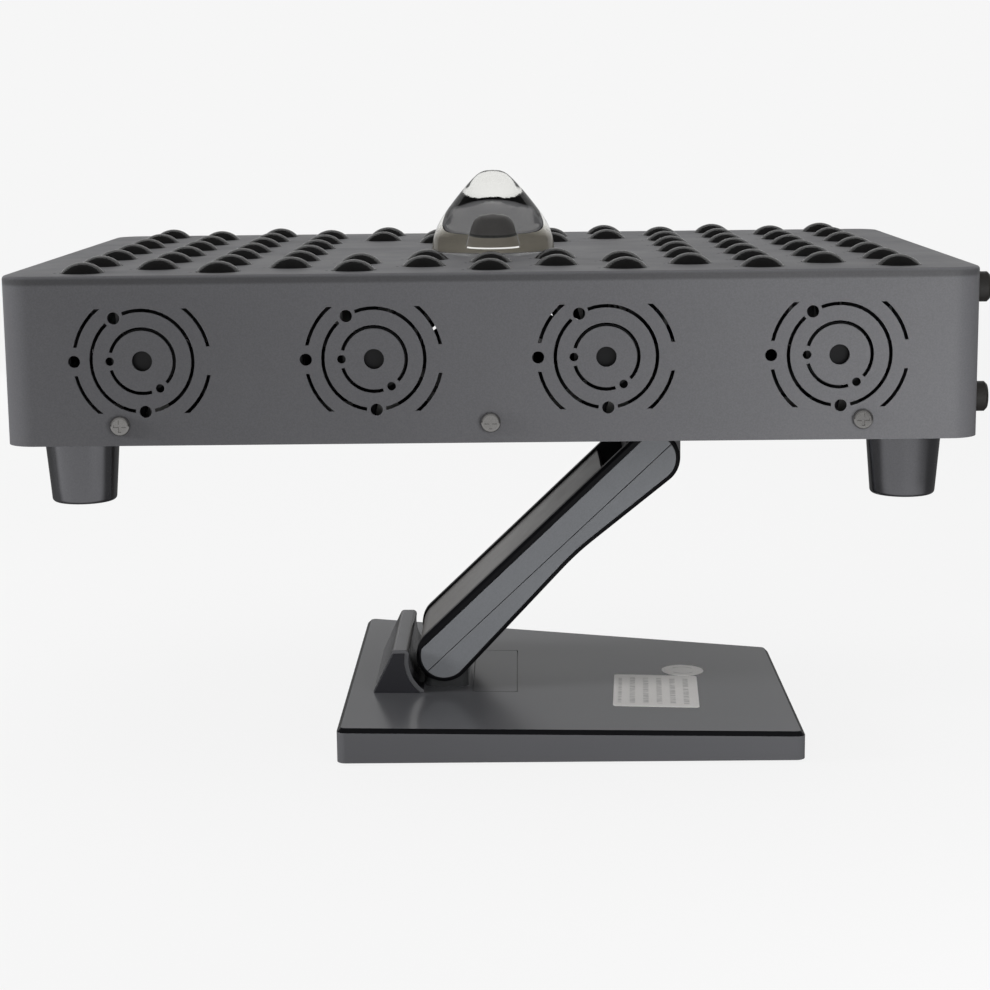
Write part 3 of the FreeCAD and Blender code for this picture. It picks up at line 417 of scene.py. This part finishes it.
def new_material(name, **values):
    """Material with a Principled shader, object coordinates and plain shader values."""
    material = bpy.data.materials.new(name)
    material.use_nodes = True
    tree = material.node_tree
    tree.nodes.clear()
    shader = add(tree, "ShaderNodeBsdfPrincipled", values)
    add(tree, "ShaderNodeOutputMaterial", {"Surface": shader.outputs[0]})
    where = add(tree, "ShaderNodeTexCoord")
    return material, tree, shader, where


def finish(name, colour, roughness, grain=1500.0, bump=0.05, pits=0.2, patches=0.12,
           speckle=0.1, smudge=0.12, scratch=0.12, dust=0.15, **values):
    """Painted, moulded or metal surface: wandering tone, smudges, scratches, dust and grain."""
    material, tree, shader, where = new_material(name, **values)
    spot = where.outputs["Object"]
    tone = use(tree, tone_group, Vector=spot, Colour=(*colour, 1), Patches=patches,
               Speckle=speckle)
    dusty = use(tree, dust_group, Vector=spot, Normal=where.outputs["Normal"],
                Colour=tone.outputs["Colour"], Amount=dust)
    worn = use(tree, wear_group, Vector=spot, Roughness=roughness, Smudge=smudge,
               Scratch=scratch)
    dull = times(tree, dusty.outputs["Mask"], 0.4)
    rough = math_node(tree, "ADD", worn.outputs["Roughness"], dull, True)
    grained = use(tree, grain_group, Vector=spot, Scale=grain, Pits=pits)
    groove = times(tree, worn.outputs["Mask"], 0.5)
    height = math_node(tree, "SUBTRACT", grained.outputs["Height"], groove)
    relief = add(tree, "ShaderNodeBump", {"Strength": bump, "Distance": 0.4 * MM,
                                          "Height": height})
    tree.links.new(dusty.outputs["Colour"], shader.inputs["Base Color"])
    tree.links.new(rough, shader.inputs["Roughness"])
    tree.links.new(relief.outputs[0], shader.inputs["Normal"])
    return material


def clear_finish(name, tint, roughness):
    """Clear moulded lens: plain transmission, faint flow lines and a trace of smudges."""
    material, tree, shader, where = new_material(
        name, **{"Base Color": (*tint, 1), "Transmission Weight": 1.0, "IOR": 1.49})
    spot = where.outputs["Object"]
    worn = use(tree, wear_group, Vector=spot, Roughness=roughness, Smudge=0.02, Scratch=0.05)
    relief = add(tree, "ShaderNodeBump", {"Strength": 0.03, "Distance": 0.3 * MM,
                                          "Height": noise(tree, spot, 60.0, 1.0)})
    tree.links.new(worn.outputs["Roughness"], shader.inputs["Roughness"])
    tree.links.new(relief.outputs[0], shader.inputs["Normal"])
    return material


def recolour(material, change):
    """Put one more step before a material's colour: change(tree, colour, coordinates)."""
    tree = material.node_tree
    shader = next(n for n in tree.nodes if n.type == "BSDF_PRINCIPLED")
    where = next(n for n in tree.nodes if n.type == "TEX_COORD")
    colour = shader.inputs["Base Color"].links[0].from_socket
    tree.links.new(change(tree, colour, where.outputs["Object"]), shader.inputs["Base Color"])


def mirror(material, low, high):
    """Make a material a clear mirror where the surface's facing value goes from low to high,
    as a polished lens does where light can't leave it."""
    tree = material.node_tree
    shader = next(n for n in tree.nodes if n.type == "BSDF_PRINCIPLED")
    angle = add(tree, "ShaderNodeLayerWeight", {"Blend": 0.5})
    mask = spread(tree, angle.outputs["Facing"], low, high)
    colour = shader.inputs["Base Color"].links[0].from_socket
    rough = shader.inputs["Roughness"].links[0].from_socket
    tree.links.new(blend_colour(tree, mask, colour, (0.95, 0.95, 0.93, 1)),
                   shader.inputs["Base Color"])
    tree.links.new(mask, shader.inputs["Metallic"])
    smooth = times(tree, rough, math_node(tree, "SUBTRACT", 1.0, mask))
    tree.links.new(smooth, shader.inputs["Roughness"])


def painted_fold_shade(tree, colour, spot):
    """Painted shade: a narrow band where the panel folds into the walls is painted darker, standing
    in for the dark reflection that the rounded fold shows.
    """
    height = axes(tree, spot)["Z"]
    rise = spread(tree, height, PANEL_TOP - 4.0 * MM, PANEL_TOP - 3.0 * MM)
    stop = spread(tree, height, PANEL_TOP - 0.4 * MM, PANEL_TOP - 1.4 * MM)
    # painted shade: the band is mixed towards near black
    return blend_colour(tree, times(tree, rise, stop, 0.48), colour, (0.02, 0.02, 0.02, 1))


def painted_bevel_shade(tree, colour, _spot):
    """Painted shade: upper bevels, which face neither straight up nor straight out, are painted
    darker.
    """
    where = add(tree, "ShaderNodeTexCoord")
    facing = axes(tree, where.outputs["Normal"])
    x, y, z = (math_node(tree, "ABSOLUTE", facing[axis]) for axis in "XYZ")
    flat = math_node(tree, "MAXIMUM", math_node(tree, "MAXIMUM", x, y), z)
    bevel = times(tree, spread(tree, flat, 0.97, 0.88), spread(tree, facing["Z"], 0.2, 0.4))
    return blend_colour(tree, bevel, colour, (0.006, 0.006, 0.007, 1))


# ---- head -----------------------------------------------------------------------------
class GROWLIGHT_OT_housing(bpy.types.Operator):
    """Painted housing with its screws, feet and end bumpers"""
    bl_idname = "growlight.housing"
    bl_label = "Housing"

    def execute(self, context):
        looks = context.scene.growlight_finish
        paint = finish("housing_paint", looks.housing, looks.satin, grain=1300.0, bump=0.10,
                       pits=0.35, patches=0.10, speckle=0.16, smudge=0.10, scratch=0.10,
                       dust=0.2, **{"Specular IOR Level": 0.35})
        # painted shade along the fold of the top panel
        recolour(paint, painted_fold_shade)
        nickel = finish("screw_nickel", (0.46, 0.45, 0.44), 0.18, bump=0.04, dust=0.0,
                        Metallic=1.0)
        polish = finish("foot_plastic", looks.feet, 0.16, bump=0.02, patches=0.2, dust=0.05,
                        Metallic=1.0)
        rubber = finish("bumper_rubber", (0.016, 0.015, 0.014), 0.42, bump=0.08, dust=0.05)
        reskin("head_shell", "housing_skin", "head", paint)
        reskin("tapered_feet", "feet", "head", polish)
        reskin("end_bumpers", "bumpers", "head", rubber)
        reskin("housing_screws", "side_screws", "head", nickel)
        dress("back_cover", paint)
        dress("foot_screws", nickel)
        return {"FINISHED"}


def lens_centres(s, first, last):
    """Centres of the small lenses in columns first to last; each second column has one lens
    fewer, and the middle five keep only two lenses at each end."""
    middle = (s.columns - 1) // 2
    col, row = np.meshgrid(np.arange(first, last), np.arange(s.rows), indexing="ij")
    count = s.rows - col % 2
    edge = np.minimum(row, count - 1 - row)
    kept = (row < count) & ((np.abs(col - middle) > 2) | (edge <= 1))
    x = HEAD_X + (col - middle) * s.pitch_x
    y = (row - (count - 1) / 2) * s.pitch_y
    z = np.full(x.shape, PANEL_TOP)
    return np.stack([x, y, z], axis=-1)[kept]


def dome_profile(s):
    """Small lens: a ball cap of the dome's radius and height, a short skirt, a flat underside."""
    ball = (s.dome_radius ** 2 + s.dome_height ** 2) / (2 * s.dome_height)
    t = np.linspace(0, math.asin(s.dome_radius / ball), 11)
    cap = np.stack([ball * np.sin(t), s.dome_height - ball * (1 - np.cos(t))], axis=-1)
    skirt = np.array([[8.75, -0.9], [8.6, -1.6], [0, -1.6]]) * MM
    return np.concatenate([cap, skirt])


def cup_profile():
    """Black reflector under a small lens: a thin cone wall, closed round its own section,
    that stops 0.2 mm above the emitter."""
    floor = (CHIP_TOP - PANEL_TOP) / MM + 0.2
    return np.array([[8.5, -1.8], [3.0, floor], [3.5, floor - 0.1], [9.0, -1.9]]) * MM


class GROWLIGHT_OT_lenses(bpy.types.Operator):
    """Small dome lenses and the black cups under them"""
    bl_idname = "growlight.lenses"
    bl_label = "Small lenses"

    def execute(self, context):
        s = context.scene.growlight_lenses
        clear = clear_finish("dome_acrylic", (0.93, 0.92, 0.90), 0.03)
        black = finish("cup_black", (0.010, 0.010, 0.010), 0.35, bump=0.05, dust=0.0)
        matte = finish("lens_back_black", (0.030, 0.029, 0.030), 0.9, dust=0.0,
                       **{"Specular IOR Level": 0.0})
        profile = dome_profile(s)
        skirt = len(profile) - 3
        for name, first, last in (("left", 0, 4), ("middle", 4, 9), ("right", 9, s.columns)):
            centres = lens_centres(s, first, last)
            points, faces, rows = turned(profile, centres, DOME_STEPS)
            domes = mesh_object("domes_" + name, points, faces)
            place(domes, "head", (clear, matte), ["lenses_" + name], rows >= skirt)
            points, faces, _rows = turned(cup_profile(), centres, CUP_STEPS, loop=True)
            place(mesh_object("cups_" + name, points, faces), "head", black)
        return {"FINISHED"}


def bulb_profile():
    """Centre lens: a bullet curve, a flange under the panel, a base level with the panel that
    rests on its seat, and a hollow over the emitter. Also gives the first and the last row of
    the flange and the base."""
    low = (BULB_BOTTOM - PANEL_TOP) / MM + 0.15
    seat = 0.1
    side = smooth_line([(0, 35.5), (3.8, 35.05), (7.4, 33.0), (12.8, 27.4), (18.2, 20.8),
                        (23.4, 13.6), (26.3, 7.0), (27.6, 0.2)], 7)
    foot = [(27.6, -1.5), (30.0, -1.5), (30.0, low), (27.0, low), (26.9, seat), (8.4, seat)]
    hollow = smooth_line([(8.4, seat), (7.4, seat + 4.0), (6.2, seat + 8.2),
                          (4.2, seat + 10.4), (0, seat + 11.4)], 6)[1:]
    rows = len(side) + len(foot)
    return np.concatenate([side, foot, hollow]) * MM, (len(side), rows - 1)


def hollow_painted_shade(tree, colour, spot):
    """Painted shade: the hollow's wall is painted dark, as the inside of the lens looks dark; it is
    warm near the foot under a thin black line.
    """
    height = math_node(tree, "SUBTRACT", axes(tree, spot)["Z"], PANEL_TOP)
    foot = spread(tree, height, 4.3 * MM, 4.1 * MM)
    line = times(tree, spread(tree, height, 5.1 * MM, 4.8 * MM),
                 spread(tree, height, 4.0 * MM, 4.3 * MM))
    warm = blend_colour(tree, foot, colour, (0.80, 0.73, 0.62, 1))
    return blend_colour(tree, line, warm, (0.01, 0.01, 0.01, 1))


class GROWLIGHT_OT_centre_lens(bpy.types.Operator):
    """Clear condenser lens, its holder and its emitter"""
    bl_idname = "growlight.centre_lens"
    bl_label = "Centre lens"

    def execute(self, context):
        clear = clear_finish("bulb_glass", (0.985, 0.985, 0.975), 0.0)
        seat = finish("seat_plastic", (0.42, 0.385, 0.32), 0.5, dust=0.0)
        film = finish("lens_base_film", (0.95, 0.88, 0.74), 0.6, dust=0.0,
                      **{"Specular IOR Level": 0.0})
        mirror(film, 0.84, 0.70)
        # painted shade: the hollow over the emitter is an opaque dark wall instead of clear glass
        shaded_hollow = finish("lens_hollow_painted_dark", (0.21, 0.20, 0.195), 0.35, dust=0.0,
                      **{"Specular IOR Level": 0.2})
        recolour(shaded_hollow, hollow_painted_shade)
        mirror(shaded_hollow, 0.74, 0.82)
        profile, (first, last) = bulb_profile()
        points, faces, rows = turned(profile, [(HEAD_X, 0, PANEL_TOP)], BULB_STEPS)
        bulb = mesh_object("bulb", points, faces)
        slots = np.where(rows > last, 2, np.where(rows >= first, 1, 0))
        place(bulb, "head", (clear, film, shaded_hollow), ["centre_lens"], slots)
        dress("lens_holder", seat)
        dress("cob_board", finish("cob_ceramic", (0.30, 0.28, 0.24), 0.4, dust=0.0))
        dress("cob_emitter", finish("phosphor", (0.30, 0.24, 0.10), 0.5, dust=0.0))
        return {"FINISHED"}


class GROWLIGHT_OT_engine(bpy.types.Operator):
    """LED board, emitters, heatsink, drivers and rail inside the head"""
    bl_idname = "growlight.engine"
    bl_label = "Light engine"

    def execute(self, context):
        dress("led_board", finish("board_mask", (0.55, 0.56, 0.55), 0.45, dust=0.0))
        dress("led_chips", finish("chip_phosphor", (0.80, 0.66, 0.30), 0.4, dust=0.0))
        dress("heatsink", finish("sink_aluminium", (0.60, 0.60, 0.61), 0.38, grain=700.0,
                                 dust=0.0, Metallic=1.0))
        driver = finish("driver_case", (0.30, 0.31, 0.32), 0.4, dust=0.0, Metallic=0.6)
        dress("led_driver_1", driver)
        dress("led_driver_2", driver)
        dress("fan_rail", finish("rail_zinc", (0.45, 0.45, 0.44), 0.4, dust=0.0, Metallic=1.0))
        return {"FINISHED"}


class GROWLIGHT_OT_fans(bpy.types.Operator):
    """Fans behind the vents"""
    bl_idname = "growlight.fans"
    bl_label = "Fans"

    def execute(self, context):
        looks = context.scene.growlight_finish
        black = finish("fan_plastic", looks.rim, 0.38, bump=0.06, dust=0.3)
        for i in range(1, 5):
            dress("fan_frame_%d" % i, black)
            dress("fan_rotor_%d" % i, black)
        return {"FINISHED"}


class GROWLIGHT_OT_controls(bpy.types.Operator):
    """Mains inlet and the two rocker switches"""
    bl_idname = "growlight.controls"
    bl_label = "Inlet and switches"

    def execute(self, context):
        looks = context.scene.growlight_finish
        black = finish("control_plastic", looks.rim, 0.34, bump=0.05, dust=0.1)
        gloss = finish("rocker_plastic", (0.014, 0.014, 0.015), 0.22, bump=0.02, dust=0.05)
        reskin("mains_inlet", "inlet", "head", black, 0.25)
        for i in (1, 2):
            rocker = "rocker_%d" % i
            reskin("switch_housing_%d" % i, "switch_bezel_%d" % i, "head", black, 0.2)
            reskin(rocker, "rocker_key_%d" % i, rocker, gloss, 0.3)
        return {"FINISHED"}


# ---- arm ------------------------------------------------------------------------------
class GROWLIGHT_OT_arm(bpy.types.Operator):
    """Folding arm with its covers, panels, pins and bracket"""
    bl_idname = "growlight.arm"
    bl_label = "Arm"

    def execute(self, context):
        looks = context.scene.growlight_finish
        rim = finish("arm_black", looks.rim, 0.42, bump=0.05, dust=0.02,
                     **{"Specular IOR Level": 0.22})
        panel = finish("arm_panel", looks.panel, 0.36, grain=1700.0, bump=0.05, patches=0.16,
                       smudge=0.16, dust=0.0)
        cover = finish("arm_cover", looks.cover, 0.34, grain=1700.0, bump=0.05, patches=0.2,
                       dust=0.12)
        steel = finish("pin_steel", (0.45, 0.45, 0.46), 0.3, dust=0.0, Metallic=1.0)
        bracket = finish("bracket_paint", (0.085, 0.085, 0.09), 0.40, dust=0.1)
        reskin("arm_body", "arm_frame", "arm", rim, 0.35)
        reskin("arm_top_cover", "arm_lid", "arm", cover, 0.3)
        reskin("arm_under_cover", "arm_belly", "arm", rim, 0.3)
        for side in ("front", "rear"):
            for half in ("upper", "lower"):
                node = "arm_panel_%s_%s" % (side, half)
                reskin(node, node + "_skin", "arm", panel, 0.12)
        reskin("head_bracket", "bracket", "head", bracket, 0.5)
        for node in ("lower_hinge_pin", "upper_hinge_pin", "lower_hinge_washers",
                     "upper_hinge_washers", "bracket_screws"):
            dress(node, steel)
        return {"FINISHED"}


# ---- base -----------------------------------------------------------------------------
class GROWLIGHT_OT_base(bpy.types.Operator):
    """Wedge base with its cradle, hinge block and tile"""
    bl_idname = "growlight.base"
    bl_label = "Base"

    def execute(self, context):
        looks = context.scene.growlight_finish
        plastic = finish("base_plastic", looks.base, 0.20, grain=1600.0, bump=0.006, pits=0.0,
                         patches=0.03, speckle=0.03, smudge=0.04, scratch=0.0, dust=0.0,
                         **{"Specular IOR Level": 0.24})
        # painted shade on the upper bevels of the base, the cradle and the tile
        recolour(plastic, painted_bevel_shade)
        cheek = finish("cradle_cap_plastic", (0.022, 0.022, 0.026), 0.34, bump=0.05, dust=0.0)
        grey = finish("hinge_block_paint", (0.10, 0.103, 0.106), 0.25, bump=0.03, dust=0.0,
                      Metallic=0.7)
        steel = finish("base_steel", (0.40, 0.40, 0.41), 0.35, dust=0.0, Metallic=1.0)
        reskin("base_shell", "base_skin", "base", plastic, 0.25)
        reskin("cradle", "cradle_wall", "base", plastic, 0.3)
        reskin("cradle_caps", "cradle_ends", "base", cheek, 0.2)
        reskin("hinge_block", "hinge_saddle", "base", grey, 0.3)
        reskin("cover_tile", "tile", "base", plastic, 0.15)
        dress("base_bottom_cover", plastic)
        dress("base_pads", finish("pad_rubber", (0.02, 0.02, 0.02), 0.6, dust=0.1))
        for node in ("base_weight", "base_screws", "stand_screws", "base_bosses"):
            dress(node, steel)
        return {"FINISHED"}


def printed_bars(centre, turn):
    """Plain grey bars side by side, with ragged ends: sine stripes across the label times
    patches of noise along them."""
    stripe_pitch = 5.984 * MM

    def change(tree, colour, spot):
        level = mapped(tree, mapped(tree, spot, Location=-centre), Rotation=(0, 0, -turn))
        place_on = axes(tree, level)
        wave = math_node(tree, "SINE", times(tree, place_on["X"], 2 * math.pi / stripe_pitch))
        bars = spread(tree, wave, 0.1, 0.5)
        ragged = mapped(tree, level, Scale=(170.0, 600.0, 1.0))
        broken = spread(tree, noise(tree, ragged, 1.0), 0.32, 0.6)
        inside = times(tree, within(tree, place_on["Y"], 21.5 * MM, 22.5 * MM),
                       within(tree, place_on["X"], 16.5 * MM, 17.2 * MM))
        return blend_colour(tree, times(tree, bars, broken, inside, 0.42), colour,
                            (0.13, 0.125, 0.12, 1))
    return change


def printed_rings(centre):
    """Two thin plain arcs round the sticker's centre."""
    radius = 5.7 * MM

    def change(tree, colour, spot):
        flat = mapped(tree, mapped(tree, spot, Location=-centre), Scale=(1.0, 1.0, 0.0))
        away = add(tree, "ShaderNodeVectorMath", {0: flat}, operation="LENGTH").outputs["Value"]
        line = within(tree, math_node(tree, "SUBTRACT", away, radius), 0.3 * MM, 0.6 * MM)
        split = within(tree, axes(tree, flat)["X"], 4.0 * MM, 4.8 * MM)
        return blend_colour(tree, times(tree, line, split, 0.4), colour, (0.06, 0.06, 0.06, 1))
    return change


class GROWLIGHT_OT_labels(bpy.types.Operator):
    """Label with plain bars and sticker with plain arcs on the base"""
    bl_idname = "growlight.labels"
    bl_label = "Labels"

    def execute(self, context):
        looks = context.scene.growlight_finish
        paper = finish("label_paper", looks.label, 0.45, grain=900.0, bump=0.04, dust=0.05)
        low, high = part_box("rating_label")
        recolour(paper, printed_bars((low + high) / 2, math.radians(-3.0)))
        dress("rating_label", paper)
        badge = finish("sticker_paper", looks.label, 0.45, grain=900.0, bump=0.04, dust=0.05)
        low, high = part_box("round_sticker")
        recolour(badge, printed_rings((low + high) / 2))
        dress("round_sticker", badge)
        return {"FINISHED"}


# ---- stage ----------------------------------------------------------------------------
def area_light(name, place_at, aim, size, power):
    """Rectangular soft light that looks at a point and isn't seen itself."""
    data = bpy.data.lights.new(name, "AREA")
    data.shape = "RECTANGLE"
    data.size, data.size_y = size
    data.energy = power
    lamp = bpy.data.objects.new(name, data)
    lamp.location = place_at
    lamp.rotation_euler = (Vector(aim) - Vector(place_at)).to_track_quat("-Z", "Y").to_euler()
    lamp.visible_camera = False
    lamp.visible_glossy = False
    lamp.visible_transmission = False
    bpy.context.scene.collection.objects.link(lamp)


def seen_directly(tree):
    """1 for rays that reach the camera straight or through clear lenses, 0 for the others."""
    path = add(tree, "ShaderNodeLightPath")
    matte = math_node(tree, "MINIMUM", path.outputs["Diffuse Depth"], 1.0)
    through = math_node(tree, "SUBTRACT", path.outputs["Is Transmission Ray"], matte)
    return math_node(tree, "MAXIMUM", path.outputs["Is Camera Ray"], through)


def paper_material(colour):
    """Pale backdrop paper that looks even; it sends light back mostly from the part in front
    of the object, takes a faint shadow near it, and can't be seen from below."""
    near_glow, back_glow, least_glow, shadow_share = 0.46, 0.50, 0.08, 0.06
    material = bpy.data.materials.new("backdrop_paper")
    material.use_nodes = True
    tree = material.node_tree
    tree.nodes.clear()
    where = add(tree, "ShaderNodeTexCoord").outputs["Object"]
    spot = axes(tree, where)
    side = times(tree, spread(tree, spot["X"], -1.25, -0.95), spread(tree, spot["X"], 0.75, 0.40))
    near = times(tree, side, spread(tree, spot["Y"], -0.10, -0.24), near_glow)
    back = times(tree, spread(tree, spot["Y"], 0.7, 2.2), back_glow)
    level = math_node(tree, "MAXIMUM", math_node(tree, "MAXIMUM", near, back), least_glow)
    strength = math_node(tree, "MAXIMUM", level, seen_directly(tree))
    glow = add(tree, "ShaderNodeEmission", {"Color": (*colour, 1), "Strength": strength})
    matte = add(tree, "ShaderNodeBsdfDiffuse", {"Color": (0.9, 0.9, 0.9, 1)})
    away = add(tree, "ShaderNodeVectorMath", {0: where}, operation="LENGTH").outputs["Value"]
    close = times(tree, spread(tree, away, 2.4, 0.8), shadow_share)
    seen = add(tree, "ShaderNodeMixShader", {0: close, 1: glow.outputs[0], 2: matte.outputs[0]})
    clear = add(tree, "ShaderNodeBsdfTransparent")
    under = add(tree, "ShaderNodeNewGeometry").outputs["Backfacing"]
    sided = add(tree, "ShaderNodeMixShader", {0: under, 1: seen.outputs[0], 2: clear.outputs[0]})
    add(tree, "ShaderNodeOutputMaterial", {"Surface": sided.outputs[0]})
    return material


def cove():
    """Floor just under the base that rises behind the object: straight back along Y, a
    quarter circle, straight up, swept along X."""
    radius, reach, width, gap = 1.5, 3.0, 5.0, 0.2 * MM
    turn = np.linspace(0, math.pi / 2, 17)
    y = np.concatenate([[-5.0, 0.0], reach + radius * np.sin(turn), [reach + radius]])
    z = np.concatenate([[0.0, 0.0], radius * (1 - np.cos(turn)), [5.0]]) - gap
    x = np.linspace(-width, width, 9)
    grid = np.stack(np.broadcast_arrays(x[:, None], y[None, :], z[None, :]), axis=-1)
    n, m = grid.shape[:2]
    i, j = np.meshgrid(np.arange(n - 1), np.arange(m - 1), indexing="ij")
    quads = np.stack([i * m + j, (i + 1) * m + j, (i + 1) * m + j + 1, i * m + j + 1], axis=-1)
    return mesh_object("floor", grid.reshape(-1, 3), [quads.reshape(-1, 4)])


class GROWLIGHT_OT_stage(bpy.types.Operator):
    """Camera, soft studio light and pale floor"""
    bl_idname = "growlight.stage"
    bl_label = "Stage"

    def execute(self, context):
        s = context.scene.growlight_stage
        scene = context.scene
        data = bpy.data.cameras.new("camera")
        data.lens = s.lens
        data.sensor_width = 36.0
        data.clip_start, data.clip_end = 0.01, 50.0
        camera = bpy.data.objects.new("camera", data)
        camera.matrix_world = (Matrix.Translation(s.place) @ Matrix.Rotation(s.yaw, 4, "Z")
                               @ Matrix.Rotation(math.pi / 2 - s.pitch, 4, "X")
                               @ Matrix.Rotation(s.roll, 4, "Z"))
        scene.collection.objects.link(camera)
        scene.camera = camera
        scene.view_settings.view_transform = "Standard"

        floor = cove()
        floor.data.materials.append(paper_material(s.paper))

        world = bpy.data.worlds.new("studio")
        scene.world = world
        world.use_nodes = True
        tree = world.node_tree
        tree.nodes.clear()
        way = axes(tree, add(tree, "ShaderNodeTexCoord").outputs["Generated"])
        front = times(tree, spread(tree, way["Y"], -0.30, -0.55), 0.22)
        bright = times(tree, front, spread(tree, way["X"], 0.75, 0.35))
        glow = math_node(tree, "ADD", bright, 0.10)
        strength = math_node(tree, "MAXIMUM", glow, seen_directly(tree))
        sky = add(tree, "ShaderNodeBackground", {"Color": (*s.paper, 1), "Strength": strength})
        add(tree, "ShaderNodeOutputWorld", {"Surface": sky.outputs[0]})

        area_light("key_light", (0.28, -0.50, 0.14), (0.21, -0.1, 0.14), (0.3, 0.3), s.key)
        area_light("top_light", (0.20, 0.1, 1.2), (0.0, 0, 0.2), (1.6, 1.6), s.top)
        area_light("rear_light", (-0.50, 1.30, 0.40), (0.0, 0.1, 0.12), (0.8, 0.6), s.rear)
        area_light("side_light", (-0.90, -0.22, 0.30), (0.0, -0.02, 0.05), (0.25, 0.2), s.fill)
        return {"FINISHED"}


class GROWLIGHT_PT_panel(bpy.types.Panel):
    """Lists the pieces and their settings"""
    bl_idname = "GROWLIGHT_PT_panel"
    bl_label = "Grow Light"
    bl_space_type = "VIEW_3D"
    bl_region_type = "UI"
    bl_category = "Grow Light"

    def draw(self, context):
        layout = self.layout
        for settings in (context.scene.growlight_finish, context.scene.growlight_lenses,
                         context.scene.growlight_stage):
            box = layout.box()
            for key in settings.__annotations__:
                box.prop(settings, key)
        for operator in OPERATORS:
            layout.operator(operator.bl_idname)


GROUPS = {"growlight_finish": GrowLightFinish, "growlight_lenses": GrowLightLenses,
          "growlight_stage": GrowLightStage}
OPERATORS = (GROWLIGHT_OT_housing, GROWLIGHT_OT_lenses, GROWLIGHT_OT_centre_lens,
             GROWLIGHT_OT_engine, GROWLIGHT_OT_fans, GROWLIGHT_OT_controls, GROWLIGHT_OT_arm,
             GROWLIGHT_OT_base, GROWLIGHT_OT_labels, GROWLIGHT_OT_stage)
CLASSES = (*GROUPS.values(), *OPERATORS, GROWLIGHT_PT_panel)


def register():
    """Add the classes and the scene's settings."""
    for cls in CLASSES:
        bpy.utils.register_class(cls)
    for name, cls in GROUPS.items():
        setattr(bpy.types.Scene, name, PointerProperty(type=cls))


def unregister():
    """Take the classes and the scene's settings away."""
    for name in GROUPS:
        delattr(bpy.types.Scene, name)
    for cls in reversed(CLASSES):
        bpy.utils.unregister_class(cls)


def main():
    """Build every piece in order."""
    register()
    for operator in OPERATORS:
        area, action = operator.bl_idname.split(".")
        getattr(getattr(bpy.ops, area), action)()


if __name__ == "__main__":
    main()
